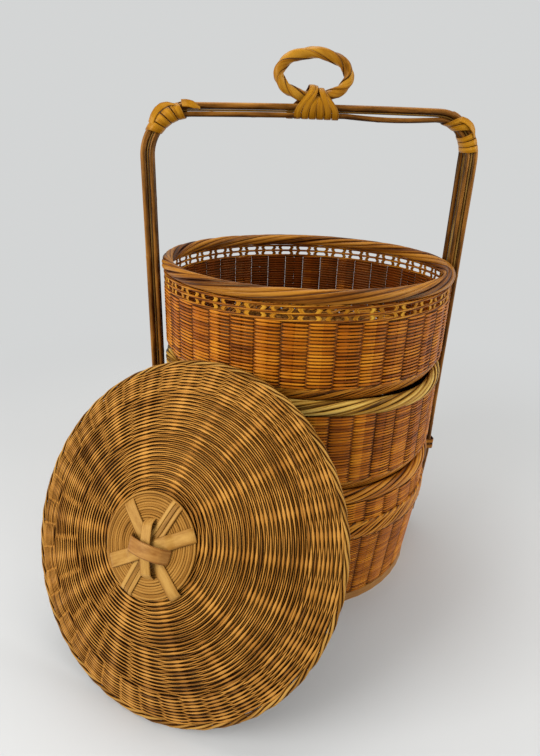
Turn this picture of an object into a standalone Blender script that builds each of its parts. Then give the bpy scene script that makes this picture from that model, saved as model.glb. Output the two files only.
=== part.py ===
"""Three-tier woven food basket: nested round trays between the legs of a bent-rod
handle, a carry ring bound to the top bar, and a domed lid leaning on its edge.

Units are metres and +Z is up. The origin is the centre of the base, on the ground.
The handle lies in the XZ plane, and the lid leans towards -X -Y.
"""
import math

import bmesh
import bpy
import numpy as np
from mathutils import Matrix, Vector

# Driving dimensions of the trays
WALL_RADIUS = 0.1560            # outer radius of the woven walls
WALL_THICKNESS = 0.0032
BASE_INSET = 0.0090             # how much the bottom tray's wall draws in at the ground
BOTTOM_TRAY_HEIGHT = 0.1555     # ground to the top of the bottom tray's rim
MIDDLE_TRAY_RISE = 0.1020       # from the bottom tray's rim to the middle tray's rim
TOP_TRAY_RISE = 0.1040          # from the middle tray's rim to the top tray's rim
RIM_OVERHANG = 0.0020           # how far the rolled rims stand out from the walls
RIM_WIDTH = 0.0125
LOWER_RIM_HEIGHT = 0.0160       # rolled rims of the bottom and middle trays
TOP_RIM_HEIGHT = 0.0140
NEST_DEPTH = 0.0040             # how far a foot stands inside the rim below
FOOT_SLOPE = 0.625              # radius lost for each unit of height on a tapered foot
FOOT_FLANGE_HEIGHT = 0.0025
FOOT_FLANGE_WIDTH = 0.0085
FLOOR_THICKNESS = 0.0025
FOOT_EDGE_HEIGHT = 0.0100       # solid edge that the bottom tray stands on
FOOT_EDGE_WIDTH = 0.0085
WALING_DROP = 0.0600            # bottom tray's rim to the foot of the twisted band round its wall
WALING_HEIGHT = 0.0200
WALING_THICKNESS = 0.0020

# Driving dimensions of the open lattice under the top rim
LATTICE_HEIGHT = 0.0150
LATTICE_THICKNESS = 0.0028
LATTICE_HOOP_HEIGHT = 0.0022
LATTICE_CROSSES = 40
LATTICE_WIDE = 0.0105           # long side of an opening
LATTICE_NARROW = 0.0050         # short side of an opening

# Driving dimensions of the relief that stands for the weave
STAKE_PAIRS = 40                # one flute of a wall or of the lid for each pair of stakes
WALL_FLUTE_DEPTH = 0.0014
LID_FLUTE_DEPTH = 0.0012

# Driving dimensions of the handle
LEG_CLEARANCE = 0.0024          # from a rim to the inner face of a leg
HEADROOM = 0.1347               # from the top tray's rim to the inner face of the top bar
TOP_BEND_RADIUS = 0.0220        # inner bend at the two top corners
BASE_BEND_RADIUS = 0.0060
KNEE_RISE = 0.0165              # from the foot of the band to where the legs start to draw in
KNEE_RADIUS = 0.0600
LEG_STAND_OFF = 0.0045          # inner face of a leg to the foot of the wall
INNER_ROD_DIAMETER = 0.0045
OUTER_ROD_DIAMETER = 0.0065
SLAT_THICKNESS = 0.0040
SLAT_WIDTH = 0.0150             # along the legs and under the base
SLAT_NARROW_WIDTH = 0.0085      # over the corners and along the bar
SLAT_TAPER_LENGTH = 0.1100
ROD_SPREAD = 0.0092             # outer rods from the middle plane, low on the legs
INNER_ROD_SPREAD = 0.0050
SPREAD_LENGTH = 0.1700          # length of leg over which the rods spread
INNER_ROD_BOW = 0.0026          # daylight under the right half of the bar
OUTER_ROD_END = 0.0240          # height of the rods' lower ends
INNER_ROD_END = 0.0300

# Driving dimensions of the cane bindings
CANE_THICKNESS = 0.0010
CORNER_WRAP_PITCH = 0.0082
CORNER_WRAP_TURNS = 5
CORNER_WRAP_HALF_DEPTH = 0.0098
CORNER_WRAP_HALF_WIDTH = 0.0090
CENTRE_WRAP_PITCH = 0.0066
CENTRE_WRAP_TURNS = 7
CENTRE_WRAP_HALF_DEPTH = 0.0146
CENTRE_WRAP_DROP = 0.0018       # slack of the binding under the bar
CENTRE_WRAP_HALF_WIDTH = 0.0094
CORNER_COVER_SHARE = 0.90       # strip width as a share of the pitch
CENTRE_COVER_SHARE = 0.80
RIGHT_WRAP_START_SHARE = -0.10   # where a corner wrap starts, as a share of its pitch, past the bar
LEFT_WRAP_START_SHARE = -0.60
CENTRE_FAN_SHARE = 0.36         # pitch over the ring as a share of the pitch on the bar
LEG_TIE_WIDTH = 0.0060
LEG_TIE_DROP = 0.0265           # from the top of the bottom tray's rim to the upper tie
LEG_TIE_PITCH = 0.0075

# Driving dimensions of the carry ring
RING_HALF_WIDTH = 0.0346        # centre line of the ring, across
RING_HALF_HEIGHT = 0.0190
RING_THICKNESS = 0.0112
RING_OFFSET = -0.0035           # the ring and its binding sit a little off the middle of the bar

# Driving dimensions of the lid
LID_OVERHANG = 0.0040           # how far the border stands out past the rims that it covers
LID_BORDER_DIAMETER = 0.0055
LID_HEIGHT = 0.0420             # border plane to the top of the dome
LID_SHELL_THICKNESS = 0.0030
LID_DOME_POWER = 2.2            # a higher power gives a flatter crown
LID_DISC_RADIUS = 0.0490
LID_DISC_THICKNESS = 0.0012
LID_DISC_RING_SHARES = [0.0, 0.5, 1.0]      # radii where the disc's section has a point
LID_TILT = math.radians(28.7)   # axis of the dome above the horizontal
LID_BEARING = math.radians(-124.2)
LID_SIDESTEP = -0.0119          # the lid leans a little to one side of the trays' axis
LID_BEDDING = 0.0004            # how far the border beds between two crests of the wall
STAR_STRIP_WIDTH = 0.0105
STAR_STRIP_LENGTH = 0.0940
STAR_STRIP_BEARINGS = [math.radians(a) for a in (-58.0, 51.0, 13.0)]
STAR_CROSSING_RADII = [0.0110, 0.0125, 0.0185]    # where each strip climbs over those below
STAR_THICKNESS = 0.0010
STRIP_CLIMB = 0.0060            # length over which a strip climbs to its upper level
KNOB_LOWER_WIDTH = 0.0095
KNOB_LOWER_LENGTH = 0.0600
KNOB_LOWER_RISE = 0.0032
KNOB_UPPER_WIDTH = 0.0140
KNOB_UPPER_LENGTH = 0.0440
KNOB_UPPER_RISE = 0.0060
KNOB_LOWER_CROSSING = 0.0245
KNOB_UPPER_CROSSING = 0.0165
KNOB_LOWER_BEARING = math.radians(-86.0)
KNOB_UPPER_BEARING = math.radians(-30.0)

# Clearances and mesh densities
SEAM = 0.0003                   # gap between touching pieces
NOTCH_CLEARANCE = 0.0012        # room for the slat where it passes under the edge
OVERRUN = 0.0100                # how far a cutter passes the face that it cuts
MERGE = 0.00002
SEGMENTS = 48
ROLL_SIDES = 8
TURN_STEPS = 20                 # steps round one turn of a cane binding
ARC_STEPS = 6
DOME_RINGS = 6
RING_SECTION_STEPS = 4          # bevel resolution of the carry ring, which lies on round rods

# Heights and radii that follow from the driving dimensions
MIDDLE_TRAY_TOP = BOTTOM_TRAY_HEIGHT + MIDDLE_TRAY_RISE
TOP_TRAY_TOP = MIDDLE_TRAY_TOP + TOP_TRAY_RISE
BASE_RADIUS = WALL_RADIUS - BASE_INSET
RIM_RADIUS = WALL_RADIUS + RIM_OVERHANG
LID_RADIUS = RIM_RADIUS + LID_OVERHANG
RIM_CENTRE = RIM_RADIUS - RIM_WIDTH / 2
WALING_BOTTOM = BOTTOM_TRAY_HEIGHT - WALING_DROP
LEG_TIE_HEIGHT = BOTTOM_TRAY_HEIGHT - LEG_TIE_DROP
LEG_INNER = RIM_RADIUS + LEG_CLEARANCE
KNEE_HEIGHT = WALING_BOTTOM + KNEE_RISE
BAR_UNDERSIDE = TOP_TRAY_TOP + HEADROOM
INNER_ROD_DEPTH = INNER_ROD_DIAMETER / 2
SLAT_INNER_DEPTH = INNER_ROD_DIAMETER + SEAM
SLAT_OUTER_DEPTH = SLAT_INNER_DEPTH + SLAT_THICKNESS
OUTER_ROD_DEPTH = SLAT_OUTER_DEPTH + SEAM + OUTER_ROD_DIAMETER / 2
BAR_DEPTH = OUTER_ROD_DEPTH + OUTER_ROD_DIAMETER / 2
ROD_HALF_PITCH = OUTER_ROD_DIAMETER / 2 + SEAM / 2
RING_REACH = (RING_THICKNESS + OUTER_ROD_DIAMETER) / 2 + SEAM
RING_SEAT = math.sqrt(RING_REACH ** 2 - ROD_HALF_PITCH ** 2)
RING_PIVOT = BAR_UNDERSIDE + OUTER_ROD_DEPTH + RING_SEAT
STRIP_LEVEL = STAR_THICKNESS + SEAM
WALL_CREST = WALL_RADIUS * math.cos(math.pi / SEGMENTS)     # inside the flats of the turned pieces

STRAW = (0.56, 0.33, 0.09)
HONEY = (0.50, 0.22, 0.04)
AMBER = (0.42, 0.16, 0.03)
OCHRE = (0.47, 0.27, 0.09)
CANE = (0.60, 0.34, 0.06)


def clear_scene():
    for obj in list(bpy.data.objects):
        bpy.data.objects.remove(obj, do_unlink=True)


def make_collection(name):
    collection = bpy.data.collections.new(name)
    bpy.context.scene.collection.children.link(collection)
    return collection


def make_material(name, colour, roughness=0.5):
    material = bpy.data.materials.new(name)
    material.use_nodes = True
    shader = material.node_tree.nodes["Principled BSDF"]
    shader.inputs["Base Color"].default_value = (*colour, 1.0)
    shader.inputs["Roughness"].default_value = roughness
    shader.inputs["Metallic"].default_value = 0.0
    return material


def place(name, data, colour, parent=None):
    """Link a new object with its own material into the basket's collection."""
    obj = bpy.data.objects.new(name, data)
    data.materials.append(make_material(name, colour))
    basket.objects.link(obj)
    obj.parent = parent
    return obj


def empty_at(name, matrix):
    empty = bpy.data.objects.new(name, None)
    empty.matrix_world = matrix
    basket.objects.link(empty)
    return empty


def turned(name, profile, colour, closed=True, parent=None):
    """Turn a profile of (radius, height) points about Z. It runs down its outer side."""
    mesh = bpy.data.meshes.new(name)
    bm = bmesh.new()
    points = [bm.verts.new((radius, 0.0, height)) for radius, height in profile]
    ends = points[1:] + (points[:1] if closed else [])
    for start, end in zip(points, ends):
        bm.edges.new((start, end))
    bm.to_mesh(mesh)
    bm.free()
    obj = place(name, mesh, colour, parent)
    screw = obj.modifiers.new("Turn", "SCREW")
    screw.steps = SEGMENTS
    screw.render_steps = SEGMENTS
    screw.use_merge_vertices = True
    screw.merge_threshold = MERGE
    screw.use_smooth_shade = False
    return obj


def fluted(name, profile, sunk, colour, closed=True, parent=None):
    """Turn a profile about Z with a shallow flute between neighbouring pairs of stakes. Each
    point has the way that it is sunk there, as (radius, height)."""
    mesh = bpy.data.meshes.new(name)
    bm = bmesh.new()
    rings = []
    for step in range(2 * STAKE_PAIRS):
        share = 1 - step % 2
        ring = [bm.verts.new((radius - share * inward, 0.0, height - share * down))
                for (radius, height), (inward, down) in zip(profile, sunk)]
        turn = Matrix.Rotation(math.pi * step / STAKE_PAIRS, 4, "Z")
        bmesh.ops.transform(bm, matrix=turn, verts=ring)
        rings.append(ring)
    for ring, after in zip(rings, rings[1:] + rings[:1]):
        for i in range(len(ring) if closed else len(ring) - 1):
            j = (i + 1) % len(ring)
            bm.faces.new((ring[i], ring[j], after[j], after[i]))
    bmesh.ops.remove_doubles(bm, verts=bm.verts, dist=MERGE)
    bmesh.ops.recalc_face_normals(bm, faces=bm.faces)
    bm.to_mesh(mesh)
    bm.free()
    return place(name, mesh, colour, parent)


def roll_profile(centre, half_width, height_centre, half_height, sides=ROLL_SIDES):
    """Section of a rolled rim with a flat crest, clockwise from its outer top corner."""
    reach = 1 / math.cos(math.pi / sides)
    angles = [math.pi / 2 - math.pi / sides * (2 * i + 1) for i in range(sides)]
    return [(centre + half_width * reach * math.cos(a),
             height_centre + half_height * reach * math.sin(a)) for a in angles]


def rod(name, points, diameter, colour, parent=None, cyclic=False, section_steps=2):
    """A round rod along a list of points."""
    curve = bpy.data.curves.new(name, "CURVE")
    curve.dimensions = "3D"
    curve.bevel_depth = diameter / 2
    curve.bevel_resolution = section_steps
    curve.use_fill_caps = not cyclic
    spline = curve.splines.new("POLY")
    spline.points.add(len(points) - 1)
    for slot, point in zip(spline.points, points):
        slot.co = (*point, 1.0)
    spline.use_cyclic_u = cyclic
    return place(name, curve, colour, parent)


def strap(name, pairs, thickness, colour, parent=None, closed=False):
    """A flat strip. Each pair is its left and right edge on the face that shows."""
    mesh = bpy.data.meshes.new(name)
    bm = bmesh.new()
    edges = [[bm.verts.new(side) for side in pair] for pair in pairs]
    following = edges[1:] + (edges[:1] if closed else [])
    for (left, right), (next_left, next_right) in zip(edges, following):
        bm.faces.new((left, right, next_right, next_left))
    bm.to_mesh(mesh)
    bm.free()
    obj = place(name, mesh, colour, parent)
    solid = obj.modifiers.new("Thickness", "SOLIDIFY")
    solid.thickness = thickness
    solid.offset = -1.0
    return obj


def fillet(before, corner, after, radius, steps=ARC_STEPS):
    """Points of an arc that rounds a corner between two straight runs."""
    back = (before - corner).normalized()
    ahead = (after - corner).normalized()
    half = back.angle(ahead) / 2
    start = corner + back * (radius / math.tan(half))
    centre = corner + (back + ahead).normalized() * (radius / math.sin(half))
    arm = start - centre
    sweep = math.pi - 2 * half
    if back.x * ahead.y - back.y * ahead.x > 0:
        sweep = -sweep
    points = []
    for i in range(steps + 1):
        turn = sweep * i / steps
        points.append(centre + Vector((arm.x * math.cos(turn) - arm.y * math.sin(turn),
                                       arm.x * math.sin(turn) + arm.y * math.cos(turn))))
    return points


def leg_corners(depth):
    """Corners of the right half of the handle's outline, offset outwards by a depth."""
    foot_x = BASE_RADIUS + LEG_STAND_OFF
    ground = SLAT_OUTER_DEPTH
    outline = [Vector((0.0, ground)), Vector((foot_x, ground)), Vector((LEG_INNER, KNEE_HEIGHT)),
               Vector((LEG_INNER, BAR_UNDERSIDE)), Vector((0.0, BAR_UNDERSIDE))]
    moved = []
    for start, end in zip(outline, outline[1:]):
        run = (end - start).normalized()
        side = Vector((run.y, -run.x)) * depth
        moved.append((start + side, run))
    corners = [moved[0][0]]
    for (point, run), (other, heading) in zip(moved, moved[1:]):
        across = run.x * heading.y - run.y * heading.x
        reach = other - point
        corners.append(point + run * ((reach.x * heading.y - reach.y * heading.x) / across))
    corners.append(Vector((0.0, moved[-1][0].y)))
    return corners


def handle_outline(depth):
    """The right half of the handle's path in the XZ plane, from base centre to bar centre."""
    base, heel, knee, shoulder, middle = leg_corners(depth)
    points = [base]
    points += fillet(base, heel, knee, BASE_BEND_RADIUS + depth)
    points += fillet(heel, knee, shoulder, KNEE_RADIUS + depth, 2)
    leg_top = shoulder.y - TOP_BEND_RADIUS - depth
    leg_bottom = points[-1].y
    points += [Vector((shoulder.x, leg_bottom + (leg_top - leg_bottom) * i / 8)) for i in range(1, 8)]
    points += fillet(knee, shoulder, middle, TOP_BEND_RADIUS + depth)
    bar_end = points[-1].x
    points += [Vector((bar_end * (1 - i / 4), middle.y)) for i in range(1, 4)]
    points.append(middle)
    return points


def full_outline(depth, lowest=None):
    """The whole path. With a lowest height it is open, and its ends are cut there."""
    right = handle_outline(depth)
    if lowest is not None:
        index = next(i for i, p in enumerate(right) if p.y > lowest)
        low, high = right[index - 1], right[index]
        start = low.lerp(high, (lowest - low.y) / (high.y - low.y))
        right = [start] + right[index:]
    left = [Vector((-p.x, p.y)) for p in reversed(right[:-1])]
    if lowest is None:
        left = left[:-1]
    return right + left


def ease(value):
    """A smooth step from 0 to 1."""
    value = min(max(value, 0.0), 1.0)
    return value * value * (3 - 2 * value)


def spread_at(height, narrow, wide):
    """Distance of a rod from the middle plane, wider lower down the leg."""
    top = BAR_UNDERSIDE - TOP_BEND_RADIUS
    return narrow + (wide - narrow) * ease((top - height) / SPREAD_LENGTH)


def tray(name, top, rim_height, wall_bottom, colour, parent, wall_top=None):
    """Wall and rolled rim that every tray has."""
    rim_bottom = top - rim_height
    wall_top = rim_bottom - SEAM if wall_top is None else wall_top
    inner = WALL_RADIUS - WALL_THICKNESS
    sunk = [(WALL_FLUTE_DEPTH, 0.0)] * 2 + [(0.0, 0.0)] * 2
    fluted(name + "_wall", [(WALL_CREST, wall_top), (WALL_CREST, wall_bottom),
                            (inner, wall_bottom), (inner, wall_top)], sunk, colour, parent=parent)
    turned(name + "_rim", roll_profile(RIM_CENTRE, RIM_WIDTH / 2, top - rim_height / 2,
                                       rim_height / 2), STRAW, parent=parent)


def foot_radius(height_over_rim):
    """Outer radius of a tapered foot that wedges in the rim below, by height over its crest."""
    rim = roll_profile(RIM_CENTRE, RIM_WIDTH / 2, -LOWER_RIM_HEIGHT / 2, LOWER_RIM_HEIGHT / 2)
    touch = min(radius - FOOT_SLOPE * height for radius, height in rim)
    return touch - SEAM * math.hypot(1, FOOT_SLOPE) + FOOT_SLOPE * height_over_rim


FOOT_TOP = (WALL_CREST - foot_radius(0.0)) / FOOT_SLOPE


def nested_foot(name, seat, parent):
    """Tapered foot band with the flange that carries a woven floor."""
    low = seat - NEST_DEPTH
    outer_low = foot_radius(-NEST_DEPTH)
    high = seat + FOOT_TOP
    flange = low + FOOT_FLANGE_HEIGHT
    profile = [(WALL_CREST, high), (outer_low, low), (outer_low - FOOT_FLANGE_WIDTH, low),
               (outer_low - FOOT_FLANGE_WIDTH, flange),
               (foot_radius(flange - seat) - WALL_THICKNESS, flange),
               (WALL_CREST - WALL_THICKNESS, high)]
    turned(name + "_foot", profile, AMBER, parent=parent)
    floor_low = flange + SEAM
    floor_radius = foot_radius(flange - seat) - WALL_THICKNESS - SEAM
    woven_floor(name + "_floor", floor_low, floor_radius, parent)


def woven_floor(name, low, radius, parent):
    turned(name, [(0.0, low + FLOOR_THICKNESS), (radius, low + FLOOR_THICKNESS),
                  (radius, low), (0.0, low)], OCHRE, closed=False, parent=parent)


def bottom_tray():
    """Deep bottom tray with its edge, twisted band, wall, rim and floor."""
    inner_low = BASE_RADIUS - WALL_THICKNESS
    wall_low = FOOT_EDGE_HEIGHT + SEAM
    wall_top = BOTTOM_TRAY_HEIGHT - LOWER_RIM_HEIGHT - SEAM
    wall = [(WALL_CREST, wall_top), (WALL_CREST, WALING_BOTTOM), (BASE_RADIUS, wall_low),
            (inner_low, wall_low), (WALL_RADIUS - WALL_THICKNESS, WALING_BOTTOM),
            (WALL_RADIUS - WALL_THICKNESS, wall_top)]
    fluted("bottom_tray_wall", wall, [(WALL_FLUTE_DEPTH, 0.0)] * 3 + [(0.0, 0.0)] * 3, HONEY)
    rim_centre = BOTTOM_TRAY_HEIGHT - LOWER_RIM_HEIGHT / 2
    turned("bottom_tray_rim", roll_profile(RIM_CENTRE, RIM_WIDTH / 2, rim_centre,
                                           LOWER_RIM_HEIGHT / 2), STRAW)
    band_inner = WALL_RADIUS + SEAM
    band_outer = band_inner + WALING_THICKNESS
    band_top = WALING_BOTTOM + WALING_HEIGHT
    turned("bottom_tray_waling", [(band_outer, band_top), (band_outer, WALING_BOTTOM),
                                  (band_inner, WALING_BOTTOM), (band_inner, band_top)], AMBER)
    woven_floor("bottom_tray_floor", wall_low, inner_low - SEAM, None)
    edge_inner = BASE_RADIUS - FOOT_EDGE_WIDTH
    edge = turned("bottom_tray_foot_edge", [(BASE_RADIUS, FOOT_EDGE_HEIGHT), (BASE_RADIUS, 0.0),
                                            (edge_inner, 0.0), (edge_inner, FOOT_EDGE_HEIGHT)], AMBER)
    notch_top = SLAT_THICKNESS + NOTCH_CLEARANCE
    notch_low = -OVERRUN
    size = (2 * (BASE_RADIUS + OVERRUN), SLAT_WIDTH + 2 * NOTCH_CLEARANCE, notch_top - notch_low)
    notch = box_cutter("foot_edge_notch", (0.0, 0.0, (notch_top + notch_low) / 2), size)
    cut(edge, notch)


def box_cutter(name, centre, size):
    mesh = bpy.data.meshes.new(name)
    bm = bmesh.new()
    bmesh.ops.create_cube(bm, size=1.0, matrix=Matrix.Translation(centre) @ Matrix.Diagonal((*size, 1.0)))
    bm.to_mesh(mesh)
    bm.free()
    return cutter(name, mesh)


def cutter(name, mesh):
    obj = bpy.data.objects.new(name, mesh)
    cutters.objects.link(obj)
    obj.hide_render = True
    obj.display_type = "WIRE"
    return obj


def cut(obj, tool):
    boolean = obj.modifiers.new("Cut", "BOOLEAN")
    boolean.operation = "DIFFERENCE"
    boolean.solver = "EXACT"
    boolean.object = tool


def lattice(low, parent):
    """Open band of crossed stakes between three hoops, cut from one ring."""
    outer = WALL_RADIUS
    inner = outer - LATTICE_THICKNESS
    top = low + LATTICE_HEIGHT
    band = turned("top_tray_lattice", [(outer, top), (outer, low), (inner, low), (inner, top)],
                  HONEY, parent=parent)
    opening = (LATTICE_HEIGHT - 3 * LATTICE_HOOP_HEIGHT) / 2
    bm = bmesh.new()
    rows = [(low + LATTICE_HOOP_HEIGHT, LATTICE_WIDE, LATTICE_NARROW),
            (low + 2 * LATTICE_HOOP_HEIGHT + opening, LATTICE_NARROW, LATTICE_WIDE)]
    for index in range(LATTICE_CROSSES):
        bearing = 2 * math.pi * index / LATTICE_CROSSES
        out = Vector((math.cos(bearing), math.sin(bearing), 0.0))
        side = Vector((-out.y, out.x, 0.0))
        for row_low, low_width, high_width in rows:
            corners = [(-low_width / 2, row_low), (low_width / 2, row_low),
                       (high_width / 2, row_low + opening), (-high_width / 2, row_low + opening)]
            face = bm.faces.new([bm.verts.new(out * (inner - OVERRUN) + side * x
                                              + Vector((0.0, 0.0, z))) for x, z in corners])
            grown = bmesh.ops.extrude_face_region(bm, geom=[face])
            verts = [v for v in grown["geom"] if isinstance(v, bmesh.types.BMVert)]
            bmesh.ops.translate(bm, verts=verts, vec=out * (LATTICE_THICKNESS + 2 * OVERRUN))
    bmesh.ops.recalc_face_normals(bm, faces=bm.faces)
    mesh = bpy.data.meshes.new("lattice_openings")
    bm.to_mesh(mesh)
    bm.free()
    cut(band, cutter("lattice_openings", mesh))


def middle_tray(parent):
    nested_foot("middle_tray", BOTTOM_TRAY_HEIGHT, parent)
    tray("middle_tray", MIDDLE_TRAY_TOP, LOWER_RIM_HEIGHT, BOTTOM_TRAY_HEIGHT + FOOT_TOP + SEAM,
         HONEY, parent)


def top_tray(parent):
    nested_foot("top_tray", MIDDLE_TRAY_TOP, parent)
    lattice_low = TOP_TRAY_TOP - TOP_RIM_HEIGHT - SEAM - LATTICE_HEIGHT
    tray("top_tray", TOP_TRAY_TOP, TOP_RIM_HEIGHT, MIDDLE_TRAY_TOP + FOOT_TOP + SEAM, HONEY, parent,
         wall_top=lattice_low - SEAM)
    lattice(lattice_low, parent)


def handle_rods():
    """Two round outer rods and two thin inner rods, each bent over in one piece."""
    inner_narrow = INNER_ROD_DIAMETER / 2 + SEAM / 2
    for side, word in ((-1, "front"), (1, "back")):
        points = [(p.x, side * spread_at(p.y, ROD_HALF_PITCH, ROD_SPREAD), p.y)
                  for p in full_outline(OUTER_ROD_DEPTH, OUTER_ROD_END)]
        rod("handle_outer_rod_" + word, points, OUTER_ROD_DIAMETER, AMBER)
        points = []
        for p in full_outline(INNER_ROD_DEPTH, INNER_ROD_END):
            bow = 0.0
            bound = CENTRE_WRAP_TURNS * CENTRE_WRAP_PITCH / 2 + CENTRE_WRAP_PITCH
            if p.y > BAR_UNDERSIDE and bound < p.x < bar_half_length():
                bow = INNER_ROD_BOW * math.sin(math.pi * (p.x - bound) / (bar_half_length() - bound))
            y = side * spread_at(p.y, inner_narrow, INNER_ROD_SPREAD)
            points.append((p.x, y, p.y - bow))
        rod("handle_inner_rod_" + word, points, INNER_ROD_DIAMETER, AMBER)


def bar_half_length():
    """Half of the straight run of the bar between its two bends."""
    return LEG_INNER - TOP_BEND_RADIUS


def handle_slat():
    """Split slat that runs down both legs and under the base, narrowed over the top."""
    pairs = []
    top = BAR_UNDERSIDE - TOP_BEND_RADIUS
    for p in full_outline(SLAT_OUTER_DEPTH):
        width = SLAT_NARROW_WIDTH + (SLAT_WIDTH - SLAT_NARROW_WIDTH) * ease((top - p.y) / SLAT_TAPER_LENGTH)
        pairs.append(((p.x, -width / 2, p.y), (p.x, width / 2, p.y)))
    strap("handle_slat", pairs, SLAT_THICKNESS, OCHRE, closed=True)


def path_frame(length_along):
    """Point and outward normal on the middle of the bundle, by length from the bar's centre."""
    depth = BAR_DEPTH / 2
    radius = TOP_BEND_RADIUS + depth
    straight = bar_half_length()
    quarter = radius * math.pi / 2
    if length_along < straight:
        return Vector((length_along, BAR_UNDERSIDE + depth)), Vector((0.0, 1.0))
    centre = Vector((straight, BAR_UNDERSIDE - TOP_BEND_RADIUS))
    if length_along < straight + quarter:
        turn = (length_along - straight) / radius
        normal = Vector((math.sin(turn), math.cos(turn)))
        return centre + normal * radius, normal
    drop = length_along - straight - quarter
    return Vector((centre.x + radius, centre.y - drop)), Vector((1.0, 0.0))


def corner_wrap(name, side, start_share):
    """Flat cane wound round the bundle at a top corner, fanned by the bend."""
    steps = CORNER_WRAP_TURNS * TURN_STEPS
    width = CORNER_WRAP_PITCH * CORNER_COVER_SHARE
    start = bar_half_length() + start_share * CORNER_WRAP_PITCH
    pairs = []
    for i in range(steps + 1):
        turn = 2 * math.pi * i / TURN_STEPS
        middle = start + CORNER_WRAP_PITCH * i / TURN_STEPS
        pair = []
        for edge in (-width / 2, width / 2):
            point, normal = path_frame(middle + edge)
            reach = normal * (CORNER_WRAP_HALF_DEPTH + CANE_THICKNESS) * math.cos(turn)
            across = (CORNER_WRAP_HALF_WIDTH + CANE_THICKNESS) * math.sin(turn)
            pair.append(Vector((side * (point.x + reach.x), across, point.y + reach.y)))
        pairs.append(pair if side > 0 else pair[::-1])
    strap(name, pairs, CANE_THICKNESS, CANE)
    report_least_gap(name, pairs)


def centre_wrap():
    """Flat cane wound over the bar and through the ring, fanned out at the bar."""
    steps = CENTRE_WRAP_TURNS * TURN_STEPS
    low = BAR_UNDERSIDE - CENTRE_WRAP_DROP - CANE_THICKNESS
    half_depth = CENTRE_WRAP_HALF_DEPTH + CANE_THICKNESS
    centre = low + half_depth
    half_run = CENTRE_WRAP_TURNS * CENTRE_WRAP_PITCH / 2
    width = CENTRE_WRAP_PITCH * CENTRE_COVER_SHARE
    pairs = []
    for i in range(steps + 1):
        turn = 2 * math.pi * i / TURN_STEPS
        height = centre - half_depth * math.cos(turn)
        across = (CENTRE_WRAP_HALF_WIDTH + CANE_THICKNESS) * math.sin(turn)
        fan = 1 - (1 - CENTRE_FAN_SHARE) * ease((height - low) / (2 * half_depth))
        middle = CENTRE_WRAP_PITCH * i / TURN_STEPS - half_run
        pairs.append([Vector((RING_OFFSET + (middle + width / 2) * fan, across, height)),
                      Vector((RING_OFFSET + (middle - width / 2) * fan, across, height))])
    strap("centre_wrap", pairs, CANE_THICKNESS, CANE)
    report_least_gap("centre_wrap", pairs)


def report_least_gap(name, pairs):
    """Print the least gap between neighbouring turns of a winding."""
    left = np.array([pair[0] for pair in pairs])
    right = np.array([pair[1] for pair in pairs])
    gaps = []
    for i in range(len(pairs) - TURN_STEPS):
        after = slice(i + TURN_STEPS // 2, len(pairs))
        gaps.append(np.linalg.norm(left[after] - right[i], axis=1).min())
        gaps.append(np.linalg.norm(right[after] - left[i], axis=1).min())
    print("least gap in", name, "mm:", round(min(gaps) * 1000, 2))


def leg_tie(name, side):
    """Cane staple over the rods of a leg, with its ends at the bottom tray's wall."""
    depth = OUTER_ROD_DIAMETER + SEAM + CANE_THICKNESS
    outer = LEG_INNER + SLAT_OUTER_DEPTH + SEAM + depth
    reach = ROD_SPREAD + OUTER_ROD_DIAMETER / 2 + SEAM + CANE_THICKNESS
    bend = OUTER_ROD_DIAMETER / 2
    foot_y = reach
    wall_x = math.sqrt((WALL_RADIUS + SEAM) ** 2 - (foot_y - CANE_THICKNESS) ** 2)
    outline = [Vector((wall_x, foot_y)), Vector((outer, foot_y))]
    corner = fillet(Vector((wall_x, foot_y)), outline[1], Vector((outer, 0.0)), bend, 3)
    half = [outline[0]] + corner
    path = half + [Vector((p.x, -p.y)) for p in reversed(half)]
    for turn, height in enumerate((LEG_TIE_HEIGHT, LEG_TIE_HEIGHT - LEG_TIE_PITCH)):
        low, high = height - LEG_TIE_WIDTH / 2, height + LEG_TIE_WIDTH / 2
        pairs = [(Vector((side * p.x, p.y, low)), Vector((side * p.x, p.y, high))) for p in path]
        if side < 0:
            pairs = [pair[::-1] for pair in pairs]
        strap(name + ("_upper", "_lower")[turn], pairs, CANE_THICKNESS, CANE)


def carry_ring(parent):
    """Oval ring seated between the two outer rods. The middle of its lowest run is the pivot."""
    count = 2 * TURN_STEPS
    points = []
    for i in range(count):
        turn = 2 * math.pi * i / count
        points.append((RING_HALF_WIDTH * math.sin(turn), 0.0,
                       RING_HALF_HEIGHT * (1 - math.cos(turn))))
    rod("carry_ring", points, RING_THICKNESS, CANE, parent=parent, cyclic=True,
        section_steps=RING_SECTION_STEPS)


def dome_height(radius):
    """Height of the dome's outer face over the border plane."""
    return LID_HEIGHT * (1 - (radius / LID_RADIUS) ** LID_DOME_POWER)


def lid_frame_matrix():
    """Frame of the leaning lid: its Z is the dome's axis and its border touches the ground."""
    border = LID_BORDER_DIAMETER / 2
    centre_radius = LID_RADIUS - border
    contact = WALL_RADIUS - LID_BEDDING + SEAM
    distance = contact + border + centre_radius * math.sin(LID_TILT)
    away = Vector((math.cos(LID_BEARING), math.sin(LID_BEARING), 0.0))
    up = Vector((0.0, 0.0, 1.0))
    axis = away * math.cos(LID_TILT) + up * math.sin(LID_TILT)
    rise = up * math.cos(LID_TILT) - away * math.sin(LID_TILT)
    across = rise.cross(axis)
    turn = Matrix((across, rise, axis)).transposed().to_4x4()
    aside = Vector((-away.y, away.x, 0.0)) * LID_SIDESTEP
    centre = away * distance + aside + up * (centre_radius * math.cos(LID_TILT) + border)
    return Matrix.Translation(centre) @ turn


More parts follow.
